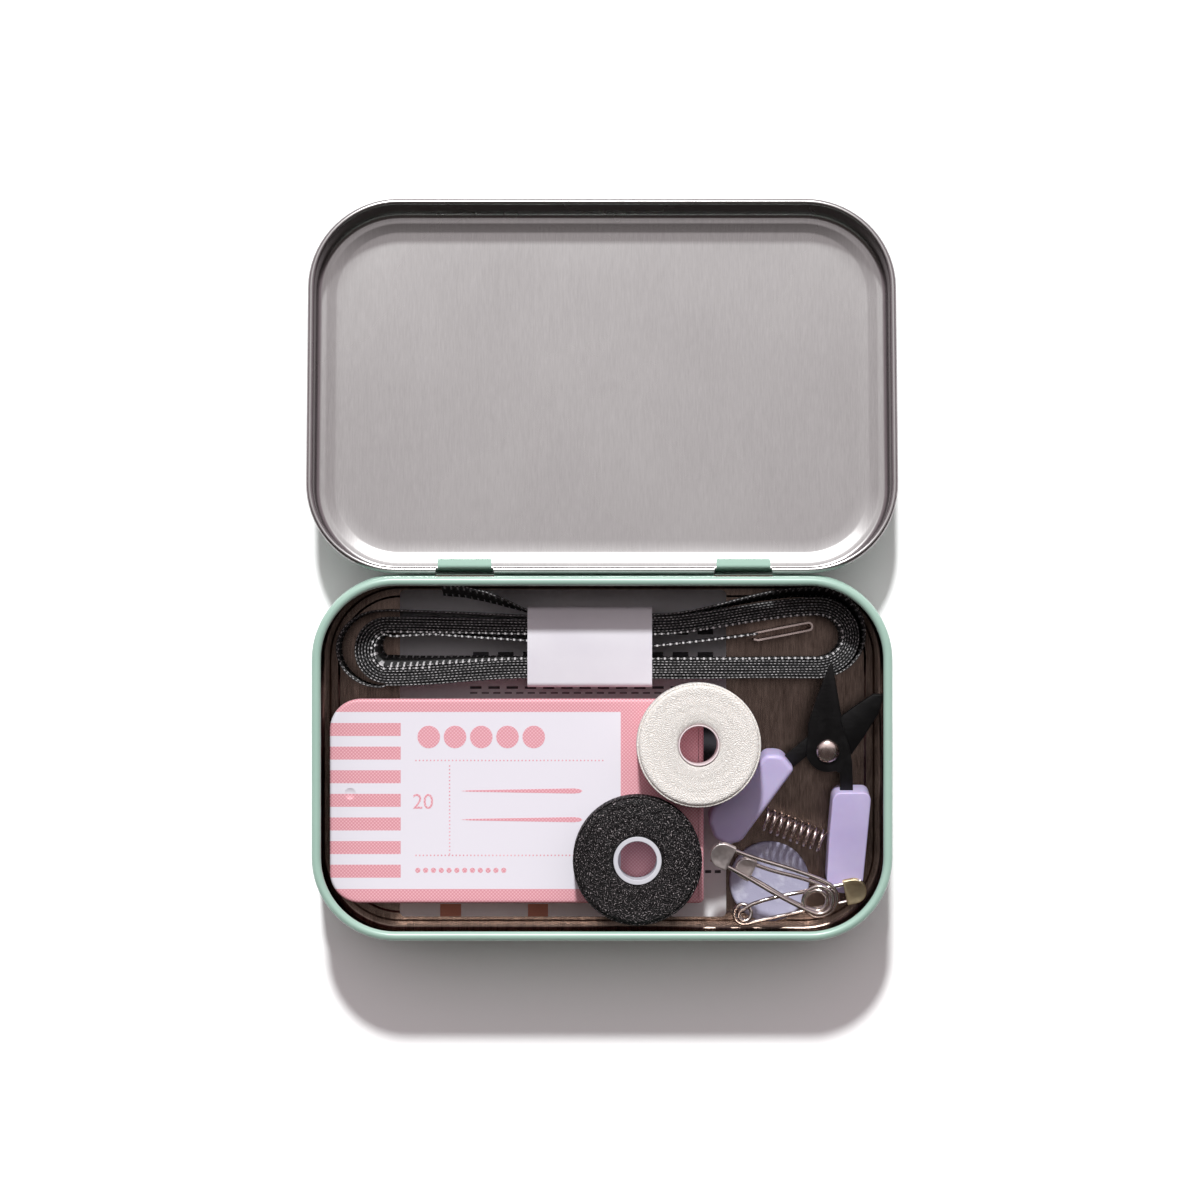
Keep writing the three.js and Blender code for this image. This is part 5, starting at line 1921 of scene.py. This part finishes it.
@dataclass
class SafetyPins:
    """Three safety pins lying on each other."""

    palette: dict[str, bpy.types.Material]
    lie: Matrix
    wire_radius: float = 0.34
    ring_rise: float = 0.85
    cap_half_height: float = 0.7
    cap_sheet: float = 0.25
    cap_hollow_end: float = 0.45
    cap_dent: float = 0.14
    cap_border: float = 0.5
    cap_ease: float = 0.2
    slot_half: float = 4.0
    coil_steps: int = 9
    ring_start: float = 100.0
    ring_turn: float = 190.0

    def frame_of(self, place: PinPlace) -> Matrix:
        """Give a pin's own frame in mm."""
        turn = Matrix.Rotation(math.radians(place.turn_degrees), 4, "Z")
        return self.lie @ Matrix.Translation(place.origin) @ turn

    def spine_points(self, place: PinPlace) -> list[Point]:
        """Give the fixed wire: from the cap, round the end and into the coil."""
        tip = place.length - self.cap_sheet - self.wire_radius
        bend = place.bend_radius
        flat = [(tip, -place.tail_spread), (tip - 4.0, -place.tail_spread - 0.12), (bend, -bend * 0.98)]
        flat += arc_points((0.0, 0.0), bend, 270, self.ring_start, self.coil_steps)
        points = [(x, y, 0.0) for x, y in flat]
        for step in range(1, self.coil_steps + 1):
            share = step / self.coil_steps
            angle = math.radians(self.ring_start - self.ring_turn * share)
            radius = bend + (place.ring_radius - bend) * min(1.0, share * 1.6)
            points.append((radius * math.cos(angle), radius * math.sin(angle), self.ring_rise * share))
        return points

    def arm_points(self, place: PinPlace) -> list[Point]:
        """Give the springing wire: from the coil to its point in the cap."""
        ring = arc_points((0.0, 0.0), place.ring_radius, -95, -268, 10)
        return [(x, y, self.ring_rise) for x, y in ring] + [
            (place.ring_radius * 2.0, place.mid_spread, self.ring_rise * 0.9),
            (place.length - place.cap_length - self.wire_radius, place.tail_spread, 0.0),
            (place.length - self.cap_sheet - self.wire_radius, place.tail_spread, 0.0),
        ]

    def cap_slot(self, place: PinPlace, back: float) -> Form:
        """Give the hollow inside a cap, open at its sides and its mouth."""
        form = Form("cap_slot")
        hollow = self.cap_half_height - self.cap_sheet
        end = place.length - self.cap_hollow_end
        form.block((back - 1.0, -self.slot_half, -hollow), (end, self.slot_half, hollow))
        form.place(self.frame_of(place))
        return form

    def cap(self, place: PinPlace) -> None:
        """Make the folded cap, round at its end and pressed in on its top."""
        form = Form(f"{place.name}_guard")
        wide, half = place.cap_half_width, self.cap_half_height
        back = place.length - place.cap_length
        round_start = place.length - wide
        outline = [(back, -wide), (round_start, -wide)]
        outline += arc_points((round_start, 0.0), wide, -75, 75, 10)
        outline += [(round_start, wide), (back, wide)]
        form.prism(outline, -half, half)
        top = max(form.mesh.faces, key=face_height)
        bmesh.ops.inset_region(
            form.mesh, faces=[top], thickness=self.cap_border, depth=-self.cap_dent, use_even_offset=True,
        )
        form.soften(
            self.cap_ease, 3,
            lambda edge: all(abs(abs(spot.co.z) - half) < NEAR for spot in edge.verts)
            and any(abs(face.normal.z) < 0.3 for face in edge.link_faces),
        )
        form.point_outward()
        form.place(self.frame_of(place))
        piece = form.finish([self.palette[place.finish]])
        carve(piece, self.cap_slot(place, back))
        round_off(piece)
        settle(piece, Body.BASE, f"{place.name}_cap")

    def build(self) -> None:
        """Make the three pins."""
        for place in PINS:
            lie = self.frame_of(place)
            wires = (
                ("backwire", self.spine_points(place), Body.BASE, "spine"),
                ("pinwire", self.arm_points(place), f"{place.name}_arm_body", "arm"),
            )
            for kind, points, body, node in wires:
                line = [tuple(lie @ Vector(point)) for point in points]
                piece = wire(f"{place.name}_{kind}", line, self.wire_radius, self.palette["pin_wire"])
                settle(piece, body, f"{place.name}_{node}")
            self.cap(place)


# Camera, light and floor


@dataclass
class Studio:
    """A camera straight above, a plain pale floor and soft plain light."""

    floor: bpy.types.Material
    camera_place: Point = (-0.00034, 0.0257, 0.64)
    focal_pixels: float = 3832.0
    frame_pixels: float = 1200.0
    sun_strength: float = 3.0
    sun_from: Point = (-0.045, 0.68, 0.73)
    sun_degrees: float = 4.5
    sun_colour: Colour = (0.98, 1.0, 0.99)
    sky_back: Colour = (0.5, 0.41, 0.445)
    sky_top: Colour = (0.92, 0.86, 0.87)
    sky_front: Colour = (0.07, 0.056, 0.054)
    floor_half: float = 900.0

    def hold(self, name: str, data: bpy.types.ID) -> bpy.types.Object:
        """Add an object that holds a camera or a light."""
        holder = bpy.data.objects.new(name, data)
        bpy.context.collection.objects.link(holder)
        return holder

    def camera(self) -> None:
        """Set up the camera in the photograph's place."""
        data = bpy.data.cameras.new("photo_camera")
        data.sensor_fit = "HORIZONTAL"
        data.angle = 2.0 * math.atan(self.frame_pixels / 2.0 / self.focal_pixels)
        data.clip_start = 0.01
        holder = self.hold("photo_camera", data)
        holder.location = self.camera_place
        bpy.context.scene.camera = holder

    def key(self) -> None:
        """Set up the key light."""
        data = bpy.data.lights.new("key", "SUN")
        data.energy = self.sun_strength
        data.angle = math.radians(self.sun_degrees)
        data.color = self.sun_colour
        holder = self.hold("key", data)
        holder.rotation_euler = Vector(self.sun_from).to_track_quat("Z", "Y").to_euler()

    def sky(self) -> None:
        """Set up a soft sky, bright above and behind; the room in front is dim."""
        world = bpy.data.worlds.new("studio_sky")
        world.use_nodes = True
        nodes, links = world.node_tree.nodes, world.node_tree.links
        direction = nodes.new("ShaderNodeTexCoord")
        parts = nodes.new("ShaderNodeSeparateXYZ")
        links.new(direction.outputs["Generated"], parts.inputs[0])

        def ramp(axis: str, low: float, high: float, first: Colour) -> bpy.types.Node:
            """Give a blend that starts from a colour and changes along one axis."""
            reach = nodes.new("ShaderNodeMapRange")
            reach.interpolation_type = "SMOOTHSTEP"
            reach.inputs["From Min"].default_value = low
            reach.inputs["From Max"].default_value = high
            links.new(parts.outputs[axis], reach.inputs["Value"])
            blend = nodes.new("ShaderNodeMix")
            blend.data_type = "RGBA"
            links.new(reach.outputs["Result"], blend.inputs[0])
            blend.inputs[6].default_value = (*first, 1.0)
            return blend

        upper = ramp("Z", 0.6, 0.93, self.sky_back)
        upper.inputs[7].default_value = (*self.sky_top, 1.0)
        whole = ramp("Y", -0.08, 0.12, self.sky_front)
        links.new(upper.outputs[2], whole.inputs[7])
        links.new(whole.outputs[2], nodes["Background"].inputs[0])
        bpy.context.scene.world = world

    def ground(self) -> None:
        """Lay the floor under the tin."""
        form = Form("floor")
        bmesh.ops.create_grid(form.mesh, x_segments=1, y_segments=1, size=self.floor_half)
        form.finish([self.floor])

    def build(self) -> None:
        """Set up the camera, the light and the floor."""
        bpy.context.scene.view_settings.view_transform = "Standard"
        self.camera()
        self.key()
        self.sky()
        self.ground()


def main() -> None:
    """Build every sub-assembly in order."""
    logging.basicConfig(level=logging.INFO, format="%(name)s: %(message)s")
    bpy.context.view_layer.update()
    look = make_palette()
    Studio(look["studio_floor"]).build()
    TinBase(look["mint_enamel"], look["shaded_base_tinplate"]).build()
    TinLid(look["mint_enamel"], look["lid_tinplate"]).build()
    InstructionCard(look["card_paper"], look["dark_ink_and_shadow"], look["brown_ink"]).build()
    NeedleTin(look["pink_print"], look["pink_ink"], look["label_print"], look["needle_steel"]).build()
    MeasuringTape(look["woven_tape"], look["band_paper"], look["rivet_steel"]).build()
    Bobbin(
        "white", look["white_thread"], look["rose_bobbin_card"], Slot.WHITE_THREAD,
        WHITE_BOBBIN_PLACE, radius=10.1, core_outer=3.35, core_inner=3.1,
    ).build()
    Bobbin(
        "black", look["black_thread"], look["bobbin_card"], Slot.BLACK_THREAD,
        BLACK_BOBBIN_PLACE, radius=10.5, core_outer=3.9, core_inner=3.15,
    ).build()
    snips = Snips(look["blade_black"], look["lavender_plastic"], look["rivet_steel"])
    snips.build()
    ChalkDisc(look["chalk_disc"]).build()
    SafetyPins(look, snips.lie()).build()


if __name__ == "__main__":
    main()
